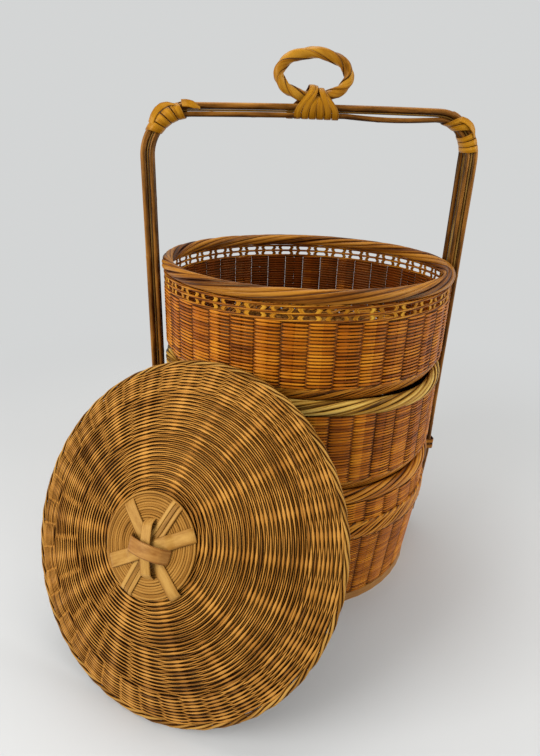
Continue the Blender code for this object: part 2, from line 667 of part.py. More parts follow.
def lid_strip(name, bearing, width, length, levels, crossing, rise, colour, parent):
    """Flat strip over the crown. It lies at the first level near its ends and climbs to
    the second inside the crossing radius. With a rise it also arches clear of the rest."""
    steps = 16
    along = Vector((math.cos(bearing), math.sin(bearing), 0.0))
    side = Vector((-along.y, along.x, 0.0))
    low, high = levels
    run = min(length / 2 - crossing, STRIP_CLIMB)
    pairs = []
    for i in range(steps + 1):
        travel = length * (i / steps - 1 / 2)
        climb = low + (high - low) * (1 - ease((abs(travel) - crossing) / run))
        arch = rise * math.sin(math.pi * i / steps)
        height = dome_height(abs(travel)) + LID_DISC_THICKNESS + 2 * SEAM + climb * STRIP_LEVEL
        middle = along * travel + Vector((0.0, 0.0, height + STAR_THICKNESS + arch))
        pairs.append((middle + side * (width / 2), middle - side * (width / 2)))
    strap(name, pairs, STAR_THICKNESS, colour, parent=parent)


def lid(parent):
    border = LID_BORDER_DIAMETER / 2
    turned("lid_border", roll_profile(LID_RADIUS - border, border, 0.0, border), OCHRE, parent=parent)
    shell_edge = LID_RADIUS - border
    radii = [shell_edge * math.sin(math.pi / 2 * i / DOME_RINGS) for i in range(DOME_RINGS + 1)]
    low = border + SEAM
    outer = [(r, max(dome_height(r), low + LID_SHELL_THICKNESS)) for r in radii]
    inner = [(r, dome_height(r) - LID_SHELL_THICKNESS) for r in radii[:-1]]
    inner = [(r, z) for r, z in inner if z > low] + [(shell_edge - LID_SHELL_THICKNESS, low)]
    profile = outer + [(shell_edge, low)] + inner[::-1]
    sunk = [(0.0, LID_FLUTE_DEPTH if r > LID_DISC_RADIUS else 0.0) for r, z in outer]
    sunk += [(0.0, 0.0)] * (len(profile) - len(outer))
    fluted("lid_shell", profile, sunk, OCHRE, closed=False, parent=parent)
    disc_radii = [LID_DISC_RADIUS * share for share in LID_DISC_RING_SHARES]
    disc_low = [(r, dome_height(r) + SEAM) for r in disc_radii]
    disc_high = [(r, z + LID_DISC_THICKNESS) for r, z in disc_low]
    turned("lid_centre_disc", disc_high + disc_low[::-1], STRAW, closed=False, parent=parent)
    for level, (bearing, crossing) in enumerate(zip(STAR_STRIP_BEARINGS, STAR_CROSSING_RADII)):
        lid_strip("lid_star_strip_%d" % (level + 1), bearing, STAR_STRIP_WIDTH, STAR_STRIP_LENGTH,
                  (0, level), crossing, 0.0, STRAW, parent)
    top_level = len(STAR_STRIP_BEARINGS)
    lid_strip("lid_knob_strip_lower", KNOB_LOWER_BEARING, KNOB_LOWER_WIDTH, KNOB_LOWER_LENGTH,
              (0, top_level), KNOB_LOWER_CROSSING, KNOB_LOWER_RISE, STRAW, parent)
    lid_strip("lid_knob_strip_upper", KNOB_UPPER_BEARING, KNOB_UPPER_WIDTH, KNOB_UPPER_LENGTH,
              (1, top_level + 1), KNOB_UPPER_CROSSING, KNOB_UPPER_RISE, AMBER, parent)


clear_scene()
basket = make_collection("tiered_food_basket")
cutters = make_collection("cutters")

bottom_tray()
middle_tray(empty_at("middle_tray_axis", Matrix()))
top_tray(empty_at("top_tray_axis", Matrix()))
handle_slat()
handle_rods()
corner_wrap("corner_wrap_right", 1, RIGHT_WRAP_START_SHARE)
corner_wrap("corner_wrap_left", -1, LEFT_WRAP_START_SHARE)
centre_wrap()
leg_tie("leg_tie_right", 1)
leg_tie("leg_tie_left", -1)
carry_ring(empty_at("ring_pivot", Matrix.Translation((RING_OFFSET, 0.0, RING_PIVOT))))
lid(empty_at("lid_axis", lid_frame_matrix()))
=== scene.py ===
import math

import bmesh
import bpy
import numpy as np
from mathutils import Matrix, Vector


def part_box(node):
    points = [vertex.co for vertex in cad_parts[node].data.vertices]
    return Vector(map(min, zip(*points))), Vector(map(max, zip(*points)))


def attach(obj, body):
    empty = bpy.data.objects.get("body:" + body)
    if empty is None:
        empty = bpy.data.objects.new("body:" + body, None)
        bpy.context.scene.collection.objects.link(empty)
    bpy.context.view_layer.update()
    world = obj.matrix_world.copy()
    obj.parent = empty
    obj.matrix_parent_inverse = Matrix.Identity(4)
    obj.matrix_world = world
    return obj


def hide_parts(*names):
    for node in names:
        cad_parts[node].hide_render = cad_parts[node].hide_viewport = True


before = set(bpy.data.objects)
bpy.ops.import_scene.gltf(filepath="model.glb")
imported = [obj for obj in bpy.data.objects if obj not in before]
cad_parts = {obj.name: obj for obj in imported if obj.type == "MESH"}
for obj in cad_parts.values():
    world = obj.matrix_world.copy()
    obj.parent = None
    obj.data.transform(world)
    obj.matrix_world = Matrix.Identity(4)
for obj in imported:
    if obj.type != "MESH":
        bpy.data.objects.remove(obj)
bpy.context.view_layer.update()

MM = 0.001
SEED = 7

# Sizes of the trays
WALL_RADIUS = 156.0 * MM
RIM_RADIUS = min(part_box("top_tray_rim")[1].x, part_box("top_tray_rim")[1].y)
BASE_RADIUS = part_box("bottom_tray_foot_edge")[1].x
TAPER_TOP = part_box("bottom_tray_waling")[0].z
TAPER_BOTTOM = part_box("bottom_tray_wall")[0].z
RIM_WIDTH = 12.5 * MM

# Weave of the walls
STAKE_PAIRS = 40
PAIR_PHASE = math.radians(4.5)      # bearing of the middle of one pair of stakes
STAKE_WIDTH = 11.7 * MM
STAKE_THICKNESS = 0.9 * MM
STAKE_DEPTH = 1.65 * MM             # from the wall's outer face to the middle of a stake
MID_GAP = 0.7 * MM                  # gap between the two stakes of a pair
WEAVER_SWING = 1.05 * MM            # how far a weaver swings out and in from the stakes
WEAVER_THICKNESS = 1.05 * MM

# Sizes of the handle
LEG_INNER = 160.4 * MM
BAR_UNDERSIDE = 496.8 * MM
BAR_ARCH = 1.2 * MM                 # the middle of the bar stands this much higher
BAR_SLOPE = 0.016                   # the bar rises a little towards its right end
SWAY_FROM = 330.0 * MM              # the legs stand straight below this height
BEND_RIGHT = 33.0 * MM
BEND_LEFT = 37.0 * MM
BASE_BEND_RADIUS = 6.0 * MM
KNEE_HEIGHT = 112.0 * MM
KNEE_RADIUS = 60.0 * MM
LEG_STAND_OFF = 4.5 * MM
INNER_ROD = 4.8 * MM
OUTER_ROD = 5.9 * MM
SLAT_THICKNESS = 1.6 * MM
SLAT_WIDTH = 24.0 * MM
SLAT_NARROW_WIDTH = 8.5 * MM
ROD_SPREAD = 10.2 * MM
INNER_ROD_SPREAD = 9.2 * MM
SPREAD_FROM = 504.0 * MM            # the rods of a leg part below this height
SPREAD_LENGTH = 46.0 * MM
INNER_ROD_BOW = 2.2 * MM
OUTER_ROD_END = 24.0 * MM
INNER_ROD_END = 30.0 * MM
SEAM = 0.3 * MM
ROD_GAP = 0.2 * MM
SLAT_DEPTH = INNER_ROD + SEAM + SLAT_THICKNESS / 2
SLAT_OUTER_DEPTH = INNER_ROD + SEAM + SLAT_THICKNESS
OUTER_ROD_DEPTH = SLAT_OUTER_DEPTH + ROD_GAP + OUTER_ROD / 2
BUNDLE_DEPTH = OUTER_ROD_DEPTH + OUTER_ROD / 2

# Cane bindings
CANE_THICKNESS = 1.0 * MM
CORNER_HALF_DEPTH = BUNDLE_DEPTH / 2 + 0.5 * MM
TUCK_LEFT = ((52, 5.0, -9), (45, 7.6, -8), (38, 9.6, -6), (31, 10.0, -5), (24, 8.8, -6), (18, 6.0, -8))
TUCK_BAR = ((10, 6.0, -6), (4, 5.4, -7.6), (-2, 4.2, -8), (-7, 2.8, -7.6), (-12, 1.0, -6.6))
TUCK_RIGHT = ((30, 2.5, -10), (38, 4.2, -11.5), (46, 4.6, -13), (54, 3.8, -13.8), (62, 2.0, -14))
CENTRE_PITCH = 7.7 * MM
CENTRE_TURNS = 6
CENTRE_SHIFT = 0.4 * MM
CENTRE_HALF_DEPTH = 14.6 * MM
CENTRE_DROP = 0.2 * MM
CENTRE_HALF_WIDTH = 9.4 * MM
CENTRE_TOPS = (-1.6, 1.2, 2.2, 6.0, 7.2, 9.6)                # where each turn crosses the ring, in mm
CENTRE_CLIMBS = (1.00, 0.98, 0.72, 0.70, 0.92, 0.85)        # how high each turn reaches
TIE_WIDTH = 6.0 * MM

# Carry ring
RING_HALF_WIDTH = 34.6 * MM
RING_HALF_HEIGHT = 19.0 * MM
RING_THICKNESS = 11.8 * MM
RING_OFFSET = -3.5 * MM

# Lid
LID_RADIUS = 162.0 * MM
LID_BORDER = 5.5 * MM
LID_HEIGHT = 42.0 * MM
LID_DOME_POWER = 2.2
LID_TILT = math.radians(28.7)
LID_BEARING = math.radians(-124.2)
LID_SIDESTEP = -11.9 * MM
LID_BEDDING = 0.4 * MM
DISC_RADIUS = 45.5 * MM
DISC_PLACE = (-0.2 * MM, -4.2 * MM)   # the disc sits a little off the crown
STAR_PLACE = (2.8 * MM, -6.3 * MM)
DISC_THICKNESS = 1.2 * MM
LID_WEAVER_PITCH = 1.7 * MM
LID_RIDGE = 4.6 * MM                # how far the weavers bulge on each side of a rib
LID_ZONES = [(4.0 * MM, 48.0 * MM, 10), (48.0 * MM, 89.0 * MM, 10),
             (89.0 * MM, 130.0 * MM, 20), (130.0 * MM, 157.5 * MM, 40)]
LID_ZONE_PHASE = math.radians(9.0)
STRIP_LEVEL = 1.3 * MM

# The colour of the backdrop
BACKDROP = (0.655, 0.665, 0.665)

# Section of the blank that every strand starts from
BLANK_SECTION = 0.25


def rounded(value, sharpness):
    """Pull a round section towards a rectangle with soft corners."""
    return np.sign(value) * np.abs(value) ** sharpness


def ease(value):
    value = np.clip(value, 0.0, 1.0)
    return value * value * (3 - 2 * value)


def ring_points(radius, turn, height):
    return np.stack([radius * np.cos(turn), radius * np.sin(turn), height], 1)


def blanks(strands, steps, sides, closed):
    """A round blank spun about Z, and its copies stacked one above the other."""
    bm = bmesh.new()
    seat = Matrix.Translation((1.0, 0.0, 0.0)) @ Matrix.Rotation(math.pi / 2, 4, "X")
    turned = seat @ Matrix.Rotation(math.pi / sides, 4, "Z")
    bmesh.ops.create_circle(bm, segments=sides, radius=BLANK_SECTION, matrix=turned)
    bmesh.ops.spin(bm, geom=bm.verts[:] + bm.edges[:], cent=(0.0, 0.0, 0.0), axis=(0.0, 0.0, 1.0),
                   dvec=(0.0, 0.0, 0.0), angle=math.tau if closed else math.pi, steps=steps,
                   use_merge=closed)
    if not closed:
        bmesh.ops.holes_fill(bm, edges=bm.edges[:], sides=sides)
    mesh = bpy.data.meshes.new("blank")
    bm.to_mesh(mesh)
    bm.free()
    obj = bpy.data.objects.new("blank", mesh)
    bpy.context.scene.collection.objects.link(obj)
    stack = obj.modifiers.new("stack", "ARRAY")
    stack.count = strands
    stack.use_relative_offset = False
    stack.use_constant_offset = True
    stack.constant_offset_displace = (0.0, 0.0, 1.0)
    stacked = bpy.data.meshes.new_from_object(obj.evaluated_get(bpy.context.evaluated_depsgraph_get()))
    bpy.data.objects.remove(obj)
    bpy.data.meshes.remove(mesh)
    return stacked


def lay(name, strands, steps, sides, place, length, closed=False):
    """Strands laid where a rule puts them. The rule takes the share of the way along, the
    number of the strand, and the place in its round section, outwards and sideways."""
    mesh = blanks(strands, steps, sides, closed)
    mesh.name = name
    count = len(mesh.vertices)
    spots = np.empty(count * 3)
    mesh.vertices.foreach_get("co", spots)
    spots = spots.reshape(-1, 3)
    turn = np.arctan2(spots[:, 1], spots[:, 0])
    if closed:
        along = np.round(turn / math.tau * steps) / steps % 1.0
    else:
        along = np.round(np.abs(turn) / math.pi * steps) / steps
    strand = np.round(spots[:, 2]).astype(int)
    out = (np.hypot(spots[:, 0], spots[:, 1]) - 1.0) / BLANK_SECTION
    side = (spots[:, 2] - strand) / BLANK_SECTION
    around = np.arctan2(side, out) / math.tau % 1.0
    mesh.vertices.foreach_set("co", place(along, strand, out, side).ravel())
    write_uv(mesh, along, around, strand, length)
    return finish_mesh(name, mesh)


def write_uv(mesh, along, around, strand, length):
    """U is metres along the strand, and V is the strand's number plus the share of its girth."""
    corners = np.empty(len(mesh.loops), int)
    starts = np.empty(len(mesh.polygons), int)
    totals = np.empty(len(mesh.polygons), int)
    mesh.loops.foreach_get("vertex_index", corners)
    mesh.polygons.foreach_get("loop_start", starts)
    mesh.polygons.foreach_get("loop_total", totals)

    def unrolled(share):
        value = share[corners]
        spread = np.maximum.reduceat(value, starts) - np.minimum.reduceat(value, starts)
        crosses = np.repeat(spread > 0.5, totals)
        return np.where(crosses & (value < 0.5), value + 1.0, value)

    layer = mesh.uv_layers.new(name="UVMap")
    pairs = np.stack([unrolled(along) * length, strand[corners] + 0.04 + 0.92 * unrolled(around)], 1)
    layer.data.foreach_set("uv", pairs.ravel())


def finish_mesh(name, mesh):
    bm = bmesh.new()
    bm.from_mesh(mesh)
    bmesh.ops.recalc_face_normals(bm, faces=bm.faces[:])
    bm.to_mesh(mesh)
    bm.free()
    mesh.polygons.foreach_set("use_smooth", np.ones(len(mesh.polygons), bool))
    mesh.update()
    obj = bpy.data.objects.new(name, mesh)
    bpy.context.scene.collection.objects.link(obj)
    return obj


def settle(obj, body, slot, finish, *nodes):
    """Give a piece its finish, and seat it on the body and the nodes it stands for."""
    obj.data.materials.append(finish)
    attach(obj, body)
    if nodes:
        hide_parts(*nodes)
    return obj


# Woven walls
def wall_radius(height):
    """Outer radius of the walls. The bottom tray draws in below its twisted band."""
    share = np.clip((TAPER_TOP - height) / (TAPER_TOP - TAPER_BOTTOM), 0.0, 1.0)
    return WALL_RADIUS - (WALL_RADIUS - BASE_RADIUS) * share


def pair_wave(turn, row):
    """From 1 where a weaver runs outside a pair of stakes to -1 where it runs inside."""
    wave = np.cos(STAKE_PAIRS / 2 * (turn - PAIR_PHASE) + math.pi * row)
    return np.tanh(2.6 * wave) / math.tanh(2.6)


def by_column(values, turn):
    """Read a value for the column of one stake, blended over its edges."""
    spot = (turn - PAIR_PHASE) / math.tau * len(values)
    index = np.floor(spot).astype(int)
    blend = ease((spot - index - 0.86) / 0.14)
    here, after = values[index % len(values)], values[(index + 1) % len(values)]
    return here + (after - here) * blend


def wall_weavers(name, low, high, rows, samples):
    """Round split weavers, laid one above the other over and under pairs of stakes. Over
    some stakes they have spread and touch, and over others they leave gaps."""
    pitch = (high - low) / rows
    chance = np.random.default_rng(SEED + rows)
    drift = chance.uniform(0.0, math.tau, (rows, 2))
    size = chance.uniform(0.88, 1.08, rows)
    fullness = chance.choice([0.06, 0.16, 0.34, 0.42], 2 * STAKE_PAIRS)
    depth = chance.uniform(-0.35, 0.25, 2 * STAKE_PAIRS) * MM

    def place(along, row, out, side):
        turn = math.tau * along
        wave = pair_wave(turn, row)
        wander = np.sin(3 * turn + drift[row, 0]) + np.sin(7 * turn + drift[row, 1])
        height = low + (row + 0.5) * pitch + 0.07 * pitch * wander
        half_height = pitch * size[row] * (0.34 + (0.30 + by_column(fullness, turn)) * np.abs(wave))
        thickness = WEAVER_THICKNESS / 2 * size[row]
        radius = wall_radius(height) - STAKE_DEPTH + WEAVER_SWING * wave + out * thickness
        radius = radius + by_column(depth, turn)
        return ring_points(radius, turn, height + side * half_height)

    return lay(name, rows, STAKE_PAIRS * samples, 6, place, math.tau * WALL_RADIUS, closed=True)


def stake_bearing(stake, offset):
    """Bearing of a stake, half of whose pair lies on each side of the pair's middle."""
    pair = stake // 2
    hand = np.where(stake % 2 == 0, -1.0, 1.0)
    return PAIR_PHASE + math.tau * pair / STAKE_PAIRS + hand * offset / WALL_RADIUS


def wall_stakes(name, low, high, steps):
    def place(along, stake, out, side):
        height = low + (high - low) * along
        bearing = stake_bearing(stake, (STAKE_WIDTH + MID_GAP) / 2)
        radius = wall_radius(height) - STAKE_DEPTH + rounded(out, 0.5) * STAKE_THICKNESS / 2
        turn = bearing + rounded(side, 0.4) * STAKE_WIDTH / 2 / WALL_RADIUS
        return ring_points(radius, turn, height)

    return lay(name, STAKE_PAIRS * 2, steps, 8, place, high - low)


def lattice_stakes(name, low, high):
    """Stakes whose pairs are drawn together between each two hoops of the open band."""
    width = 4.7 * MM
    wide, narrow = 8.6 * MM, 2.4 * MM

    def place(along, stake, out, side):
        height = low + (high - low) * along
        waist = 1 - np.abs(4 * (along % 0.5) - 1)
        gap = wide + (narrow - wide) * waist
        bearing = stake_bearing(stake, (gap + width) / 2)
        radius = WALL_RADIUS - STAKE_DEPTH + rounded(out, 0.5) * STAKE_THICKNESS / 2
        turn = bearing + rounded(side, 0.4) * width / 2 / WALL_RADIUS
        return ring_points(radius, turn, height)

    return lay(name, STAKE_PAIRS * 2, 12, 8, place, high - low)


def rope(name, strands, lays, radius, height, half_width, half_height, strand_width,
         strand_thickness, samples=14, lean=0.0, sides=8, dip=None, crisp=0.8):
    """Strands twisted round a flattened core that runs round a tray. Its half width and
    half height reach to the middle of the strands."""
    chance = np.random.default_rng(SEED + strands * 100 + lays)
    drift = chance.uniform(0.0, math.tau, (strands, 2))
    size = chance.uniform(0.9, 1.08, strands)

    def place(along, strand, out, side):
        turn = math.tau * along
        roll = math.tau * strand / strands + lays * turn
        roll = roll + 0.10 * np.sin(5 * turn + drift[strand, 0])
        across, up = half_width * np.cos(roll), half_height * np.sin(roll)
        normal = np.stack([half_height * np.cos(roll), half_width * np.sin(roll)], 1)
        normal /= np.linalg.norm(normal, axis=1)[:, None]
        swell = size[strand] * (1 + 0.05 * np.sin(11 * turn + drift[strand, 1]))
        thick = rounded(out, crisp) * strand_thickness / 2 * swell
        wide = rounded(side, crisp) * strand_width / 2 * swell
        across = across + normal[:, 0] * thick - normal[:, 1] * wide
        up = up + normal[:, 1] * thick + normal[:, 0] * wide
        level = height + up + (0.0 if dip is None else dip(turn))
        return ring_points(radius + across + lean * up, turn, level)

    steps = int(max(160, abs(lays) * samples))
    return lay(name, strands, steps, sides, place, math.tau * radius, closed=True)


def woven_floor(name, node):
    """Flat splits woven over and under each other, cut to the round of the tray."""
    low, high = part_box(node)
    radius = high.x - 0.2 * MM
    middle = (low.z + high.z) / 2
    pitch = 9.0 * MM
    rows = int(2 * radius / pitch) // 2 * 2
    width, thickness = 8.2 * MM, 0.8 * MM
    swing = (high.z - low.z) / 2 - thickness / 2

    def place(along, strand, out, side):
        crosswise = strand >= rows
        row = np.where(crosswise, strand - rows, strand)
        offset = (row - (rows - 1) / 2) * pitch
        reach = np.sqrt(np.maximum(radius ** 2 - (np.abs(offset) + width / 2) ** 2, 0.0))
        run = reach * (2 * along - 1)
        wave = np.cos(math.pi * (run / pitch - (rows - 1) / 2) + math.pi * row)
        level = middle + swing * np.tanh(2 * wave) / math.tanh(2) * np.where(crosswise, -1, 1)
        level = level + rounded(out, 0.6) * thickness / 2
        over = offset + rounded(side, 0.4) * width / 2
        return np.stack([np.where(crosswise, over, run), np.where(crosswise, run, over), level], 1)

    return lay(name, rows * 2, rows * 6, 6, place, 2 * radius)


# Handle
def leg_corners(depth):
    """Corners of the right half of the handle's outline, offset outwards by a depth."""
    foot_x = BASE_RADIUS + LEG_STAND_OFF
    outline = [Vector((0.0, SLAT_OUTER_DEPTH)), Vector((foot_x, SLAT_OUTER_DEPTH)),
               Vector((LEG_INNER, KNEE_HEIGHT)), Vector((LEG_INNER, BAR_UNDERSIDE)),
               Vector((0.0, BAR_UNDERSIDE))]
    moved = []
    for start, end in zip(outline, outline[1:]):
        run = (end - start).normalized()
        moved.append((start + Vector((run.y, -run.x)) * depth, run))
    corners = [moved[0][0]]
    for (point, run), (other, heading) in zip(moved, moved[1:]):
        reach = other - point
        share = (reach.x * heading.y - reach.y * heading.x) / (run.x * heading.y - run.y * heading.x)
        corners.append(point + run * share)
    corners.append(Vector((0.0, moved[-1][0].y)))
    return corners


def fillet(before, corner, after, radius, steps=18):
    """Points of an arc that rounds a corner between two straight runs."""
    back = (before - corner).normalized()
    ahead = (after - corner).normalized()
    half = back.angle(ahead) / 2
    start = corner + back * (radius / math.tan(half))
    centre = corner + (back + ahead).normalized() * (radius / math.sin(half))
    arm = start - centre
    sweep = math.pi - 2 * half
    if back.x * ahead.y - back.y * ahead.x > 0:
        sweep = -sweep
    turns = [sweep * i / steps for i in range(steps + 1)]
    return [centre + Vector((arm.x * math.cos(t) - arm.y * math.sin(t),
                             arm.x * math.sin(t) + arm.y * math.cos(t))) for t in turns]


class Route:
    """A line in the XZ plane, read by the length along it, with its outward normal."""

    def __init__(self, points):
        spots = np.array([(p.x, p.y) for p in points])
        keep = np.concatenate([[True], np.linalg.norm(np.diff(spots, axis=0), axis=1) > 1e-7])
        self.spots = spots[keep]
        steps = np.linalg.norm(np.diff(self.spots, axis=0), axis=1)
        self.marks = np.concatenate([[0.0], np.cumsum(steps)])
        self.length = self.marks[-1]

    def at(self, travel):
        x = np.interp(travel, self.marks, self.spots[:, 0])
        z = np.interp(travel, self.marks, self.spots[:, 1])
        return x, z

    def normal(self, travel, reach=0.5 * MM):
        x0, z0 = self.at(travel - reach)
        x1, z1 = self.at(travel + reach)
        run = np.stack([x1 - x0, z1 - z0], 1)
        run /= np.linalg.norm(run, axis=1)[:, None]
        return run[:, 1], -run[:, 0]


def half_route(depth, bend, lowest):
    """One half of the handle's outline at a depth, from its foot to the middle of the bar."""
    base, heel, knee, shoulder, middle = leg_corners(depth)
    half = [base] + fillet(base, heel, knee, BASE_BEND_RADIUS + depth)
    half += fillet(heel, knee, shoulder, KNEE_RADIUS + depth)
    half += fillet(knee, shoulder, middle, bend + depth)
    if lowest is not None:
        index = next(i for i, p in enumerate(half) if p.y > lowest)
        low, high = half[index - 1], half[index]
        half = [low.lerp(high, (lowest - low.y) / (high.y - low.y))] + half[index:]
    return half + [middle]


def handle_route(depth, lowest=None):
    """The handle's outline at a depth, from the right foot over the bar to the left foot."""
    right = half_route(depth, BEND_RIGHT, lowest)
    left = half_route(depth, BEND_LEFT, lowest)
    return Route(right + [Vector((-p.x, p.y)) for p in reversed(left[:-1])])


def sway(x, z):
    """The bar isn't quite level, and rises a little in its middle."""
    lift = ease((z - SWAY_FROM) / (BAR_UNDERSIDE - SWAY_FROM))
    arch = BAR_ARCH * np.maximum(1 - (x / (130 * MM)) ** 2, 0.0)
    return z + (BAR_SLOPE * x + arch) * lift


def spread_at(height, narrow, wide):
    """Distance of a rod from the middle plane, wider lower down the leg."""
    return narrow + (wide - narrow) * ease((SPREAD_FROM - height) / SPREAD_LENGTH)


def handle_rod(name, depth, diameter, hand, narrow, wide, lowest, bow, seed):
    """A round rod, bent over in one piece, with the swellings of its joints."""
    route = handle_route(depth, lowest)
    chance = np.random.default_rng(SEED + seed)
    joints = np.cumsum(chance.uniform(0.10, 0.19, 12))
    drift = chance.uniform(0.0, math.tau, 3)
    bound = CENTRE_TURNS * CENTRE_PITCH / 2 + CENTRE_PITCH
    bar_half = LEG_INNER - BEND_RIGHT

    def place(along, strand, out, side):
        travel = along * route.length
        x, z = route.at(travel)
        nx, nz = route.normal(travel)
        swell = 1 + 0.02 * np.sin(31 * along + drift[0])
        for joint in joints:
            swell = swell + 0.09 * np.exp(-((travel - joint) / (1.6 * MM)) ** 2)
        free = ease((BAR_UNDERSIDE - 30 * MM - z) / (40 * MM))
        loose = (0.35 * MM * np.sin(19 * along + drift[1]) + 0.2 * MM * np.sin(43 * along + drift[2])) * free
        y = hand * (spread_at(z, narrow, wide) + loose)
        share = np.clip((x - bound) / (bar_half - bound), 0.0, 1.0)
        sag = np.where(z > BAR_UNDERSIDE, bow * np.sin(math.pi * share), 0.0)
        half = diameter / 2 * swell
        return np.stack([x + nx * out * half, y + side * half, sway(x, z) - sag + nz * out * half], 1)

    return lay(name, 1, int(route.length / (2.0 * MM)), 12, place, route.length)


def handle_slat(name):
    """Flat split that runs down both legs and under the base, narrow over the top."""
    route = handle_route(SLAT_DEPTH)

    def place(along, strand, out, side):
        travel = along * route.length
        x, z = route.at(travel)
        nx, nz = route.normal(np.clip(travel, MM, route.length - MM))
        width = SLAT_NARROW_WIDTH + (SLAT_WIDTH - SLAT_NARROW_WIDTH) * ease((SPREAD_FROM - z) / SPREAD_LENGTH)
        depth = rounded(out, 0.45) * SLAT_THICKNESS / 2 * (1 - 0.12 * side ** 2)
        return np.stack([x + nx * depth, rounded(side, 0.4) * width / 2, sway(x, z) + nz * depth], 1)

    return lay(name, 1, 620, 10, place, route.length)


def bundle_frame(turn, reach, bend):
    """A point at a bearing round a top bend, by its distance from the middle of the bundle.
    Before and past the quarter turn it runs on along the bar and down the leg."""
    radius = bend + BUNDLE_DEPTH / 2
    held = np.clip(turn, 0.0, math.pi / 2)
    over = (turn - held) * radius
    nx, nz = np.sin(held), np.cos(held)
    x = LEG_INNER - bend + (radius + reach) * nx + over * nz
    z = BAR_UNDERSIDE - bend + (radius + reach) * nz - over * nx
    return x, z


def corner_wrap(name, hand, bend, turns, first, last, slant, widths):
    """Flat cane wound round the bundle at a top bend, from one bearing to the other. Its turns
    lie on a slant, and widen with the rods from the first half width to the second."""
    first, last, slant = math.radians(first), math.radians(last), math.radians(slant)
    pitch = (last - first) / turns

    def place(along, strand, out, side):
        roll = math.tau * turns * along
        middle = first + (last - first) * along + slant * np.cos(roll)
        skin = CANE_THICKNESS / 2 * (1 + rounded(out, 0.5) * (1 - 0.35 * side ** 2))
        reach = (CORNER_HALF_DEPTH + skin) * np.cos(roll)
        across = ((widths[0] + (widths[1] - widths[0]) * along) * MM + skin) * np.sin(roll)
        x, z = bundle_frame(middle + rounded(side, 0.5) * pitch * 0.47, reach, bend)
        return np.stack([hand * x, across, sway(hand * x, z)], 1)

    return lay(name, 1, int(turns * 28), 10, place, turns * 55 * MM)


def tucked_strip(name, hand, bend, stations, width, tilt):
    """A flat end of cane that lies lengthwise over a bend. Its stations give the bearing, the
    distance from the bundle's middle and the place across, in degrees and millimetres."""
    bearings, reaches, sides = (np.array(row) for row in zip(*stations))
    marks = np.linspace(0.0, 1.0, len(stations))

    def place(along, strand, out, side):
        turn = np.radians(np.interp(along, marks, bearings))
        reach = np.interp(along, marks, reaches) * MM
        middle = np.interp(along, marks, sides) * MM
        wide = rounded(side, 0.5) * width / 2 * (1 - 0.6 * ease((along - 0.55) / 0.45))
        skin = rounded(out, 0.5) * CANE_THICKNESS / 2
        x, z = bundle_frame(turn, reach + skin * math.cos(tilt) + wide * math.sin(tilt), bend)
        across = middle + wide * math.cos(tilt) - skin * math.sin(tilt)
        return np.stack([hand * x, across, sway(hand * x, z)], 1)

    return lay(name, 1, 36, 10, place, 40 * MM)


def centre_wrap(name):
    """Flat cane wound over the bar and through the ring. The turns lie side by side under the
    bar, and draw together where they cross the ring, some over the others."""
    low = BAR_UNDERSIDE + BAR_ARCH - CENTRE_DROP - CANE_THICKNESS
    half_depth = CENTRE_HALF_DEPTH + CANE_THICKNESS
    width = CENTRE_PITCH * 0.93
    crossings = np.arange(CENTRE_TURNS) + 0.5

    def place(along, strand, out, side):
        count = CENTRE_TURNS * along
        roll = math.tau * count
        skin = CANE_THICKNESS / 2 * (rounded(out, 0.5) * (1 - 0.3 * side ** 2) - 1)
        climb = (1 - np.cos(roll)) / 2
        tall = 1 + (np.interp(count, crossings, CENTRE_CLIMBS) - 1) * climb
        height = low + (half_depth - (half_depth + skin) * np.cos(roll)) * tall
        across = (CENTRE_HALF_WIDTH + CANE_THICKNESS + skin) * np.sin(roll) * (0.62 + 0.38 * tall)
        top = np.interp(count, crossings, CENTRE_TOPS) * MM
        under = CENTRE_SHIFT + CENTRE_PITCH * (count - CENTRE_TURNS / 2)
        fan = ease((climb - 0.12) / 0.88)
        wide = rounded(side, 0.5) * width / 2 * (1 - 0.12 * fan)
        return np.stack([RING_OFFSET + under + (top - under) * fan + wide, across, height], 1)

    return lay(name, 1, CENTRE_TURNS * 30, 10, place, CENTRE_TURNS * 76 * MM)


def leg_tie(name, hand, node):
    """Cane staple over the rods of a leg, with its ends at the bottom tray's wall."""
    low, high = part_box(node)
    height = (low.z + high.z) / 2
    outer = max(abs(low.x), abs(high.x)) - CANE_THICKNESS / 2
    reach = high.y - CANE_THICKNESS / 2
    wall_x = math.sqrt(WALL_RADIUS ** 2 - reach ** 2)
    bend = OUTER_ROD / 2
    start = Vector((wall_x, reach))
    corner = Vector((outer, reach))
    half = [start] + fillet(start, corner, Vector((outer, 0.0)), bend, 8)
    path = half + [Vector((p.x, -p.y)) for p in reversed(half)]
    route = Route(path)

    def place(along, strand, out, side):
        travel = along * route.length
        x, y = route.at(travel)
        nx, ny = route.normal(travel)
        skin = rounded(out, 0.5) * CANE_THICKNESS / 2
        return np.stack([hand * (x - nx * skin), y - ny * skin,
                         height + rounded(side, 0.5) * TIE_WIDTH / 2], 1)

    return lay(name, 1, 60, 8, place, route.length)


